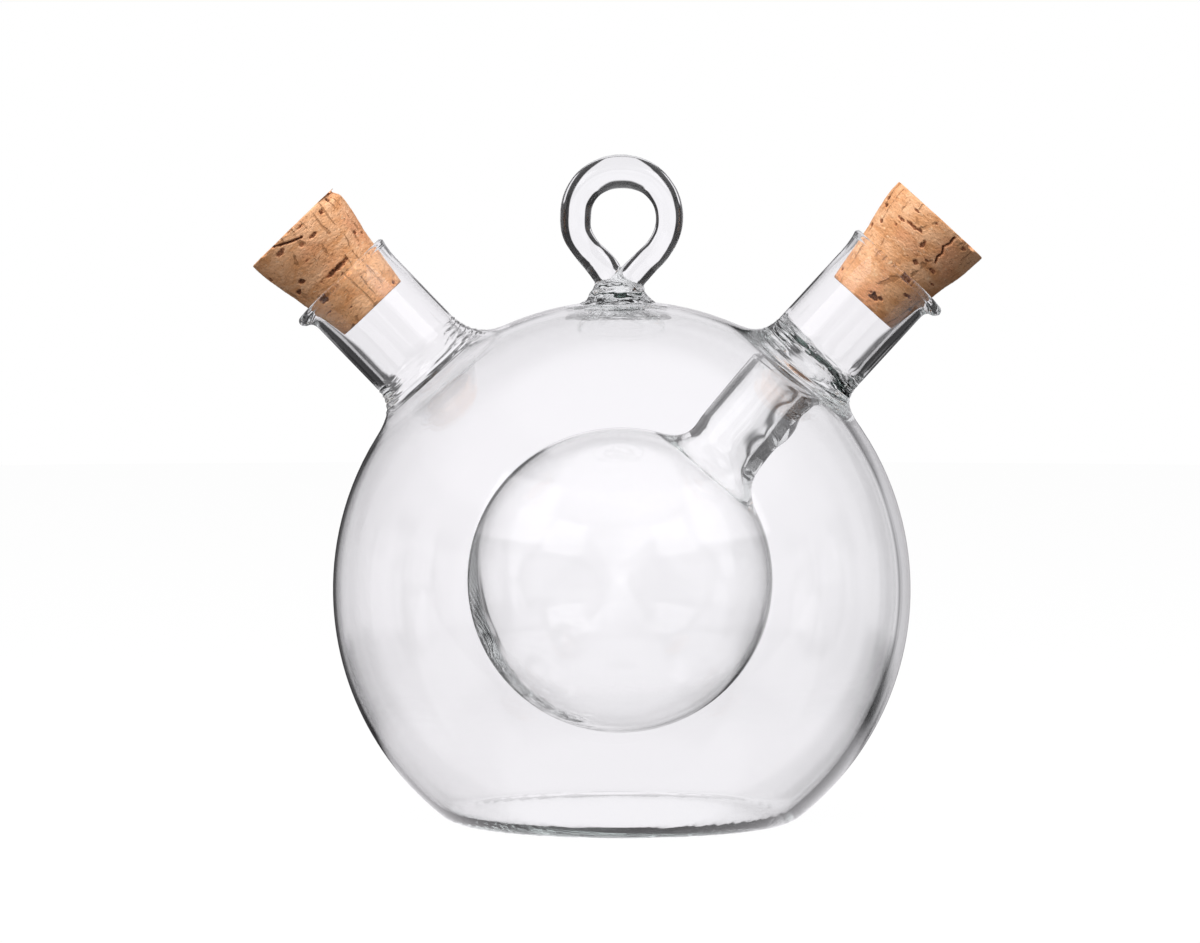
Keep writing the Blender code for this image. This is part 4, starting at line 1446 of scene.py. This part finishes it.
# %% Rays turned back inside a wall
# They see a dark ring round the line of sight. The outer wall sees light side walls beyond the ring, and
# light above it, which stays narrow, so that the necks' upper walls are dark. Below, the ring is wide.
LEFT_WALL_LEVEL = 0.62
RIGHT_WALL_LEVEL = 0.90
LEFT_GREY = 0.15
RIGHT_GREY = 0.55
OVERHEAD_LEVEL = 0.85
STEEP_LEVEL = 0.8
SIGHT_SLOPE = 3.6


def away_from_sight(turned):
    return math_node(tree, "SQRT", plus(times(turned, turned), times(off_sight, off_sight)))


turned_side = minus(math.pi / 2, turned_main)
off_sight = math_node(tree, "ABSOLUTE", plus(elevation, math.radians(SIGHT_SLOPE)))
to_right = soft_edge(tree, separate.outputs["X"], -0.15, 0.15)
beyond = times(ramp(away_from_sight(turned_main), 26.0, 32.0), ramp(away_from_sight(turned_side), 13.0, 18.0))
wide_ring = times(ramp(elevation, -8.0, -13.0), ramp(turned_main, 64.0, 54.0))
beyond = times(beyond, inverse(wide_ring))
wall_level = plus(times(to_right, RIGHT_WALL_LEVEL - LEFT_WALL_LEVEL), LEFT_WALL_LEVEL)
overhead = ramp(minus(off_sight, turned_main), 5.0, 9.0)
overhead = lighter(times(ramp(elevation, 4.0, 10.0), overhead), ramp(elevation, 24.0, 32.0))
outer_wall = lighter(times(beyond, wall_level), times(overhead, OVERHEAD_LEVEL))
steep_down = ramp(elevation, -50.0, -62.0)
outer_wall = lighter(outer_wall, times(steep_down, STEEP_LEVEL))
left_grey = times(ramp(beside(90.0 + 22.0), 14.0, 9.0), LEFT_GREY)
right_grey = times(ramp(beside(90.0 - 17.0), 12.0, 8.0), RIGHT_GREY)
outer_wall = lighter(outer_wall, times(lighter(left_grey, right_grey), ramp(off_sight, 10.0, 6.0)))

# %% Rays turned back in the ball's and the stem's walls
# They see dark all round, but for light above, straight below and at the lower left.
INNER_STEEP_LEVEL = 0.7
INNER_LIGHT = 0.9

inner_wall = times(lighter(ramp(elevation, 46.0, 56.0), steep_down), INNER_STEEP_LEVEL)
above = ramp(minus(off_sight, times(beside(0.0), 1.6)), 0.0, 4.0)
above = times(above, band(elevation, -2.0, 1.0, 30.0, 40.0))
lower_left = ramp(minus(off_sight, times(turned_main, 0.8)), 0.0, 5.0)
lower_left = times(times(lower_left, inverse(to_right)), band(elevation, -40.0, -34.0, -8.0, -5.0))
inner_wall = lighter(inner_wall, times(lighter(above, lower_left), INNER_LIGHT))
print("world nodes with the rays turned back:", len(tree.nodes))

# %% Join the three rooms
# Matt surfaces are lit by a plain sky, lighter above, and the camera sees white.
SKY_LEVELS = (0.05, 0.75)

mirrored = at_most_one(tree, path.outputs["Glossy Depth"])
inner_room = lighter(choose(few_surfaces, inner_wall, outer_wall), DARK_LEVEL)
glass_sees = choose(mirrored, straight, choose(turned_back_in_wall(tree, path), room, inner_room))
through = comes_from_glass(tree, path)
low_level, high_level = SKY_LEVELS
sky = plus(times(ramp(elevation, -20.0, 75.0), high_level - low_level), low_level)
strength = plus(times(glass_sees, through), times(sky, inverse(through)))
background = tree.nodes.new("ShaderNodeBackground")
tree.links.new(lighter(strength, path.outputs["Is Camera Ray"]), background.inputs["Strength"])
tree.links.new(mix_colour(tree, through, WHITE, GLASS_TINT), background.inputs["Color"])
output = tree.nodes.new("ShaderNodeOutputWorld")
tree.links.new(background.outputs["Background"], output.inputs["Surface"])
print("world nodes:", len(tree.nodes))

# %% [markdown]
# ## Lamps for the corks
# Two soft lamps, one above and one at the front left, model the corks and cast a faint shadow. The glass
# must not show them, since its own studio is drawn in the world, so they are hidden from mirrored and
# transmitted rays.

# %% Lamps
LAMP_AIM = (0.0, 0.0, 0.08)


def area_lamp(name, place, size, power):
    data = bpy.data.lights.new(name, "AREA")
    data.shape = "SQUARE"
    data.size = size
    data.energy = power
    lamp = bpy.data.objects.new(name, data)
    bpy.context.scene.collection.objects.link(lamp)
    lamp.location = place
    lamp.rotation_euler = (Vector(LAMP_AIM) - Vector(place)).to_track_quat("-Z", "Y").to_euler()
    lamp.visible_glossy = False
    lamp.visible_transmission = False
    lamp.visible_camera = False


area_lamp("top_softbox", (-0.04, -0.35, 1.1), 0.7, 12.5)
area_lamp("front_softbox", (-0.5, -0.9, 0.5), 0.5, 4.5)
print("lamps:", len(bpy.data.lights))

# %% [markdown]
# ## Bounces
# Light runs round inside the thick glass of the ring seal and out again only after many bounces. With few
# bounces such a path ends early and leaves a black blot, so glass gets many more than the usual number.

# %% Render set-up
GLASS_BOUNCES = 64
MIRROR_BOUNCES = 32

scene = bpy.context.scene
scene.view_settings.view_transform = "Standard"
scene.cycles.max_bounces = GLASS_BOUNCES
scene.cycles.transmission_bounces = GLASS_BOUNCES
scene.cycles.glossy_bounces = MIRROR_BOUNCES
print("bounces:", scene.cycles.max_bounces)
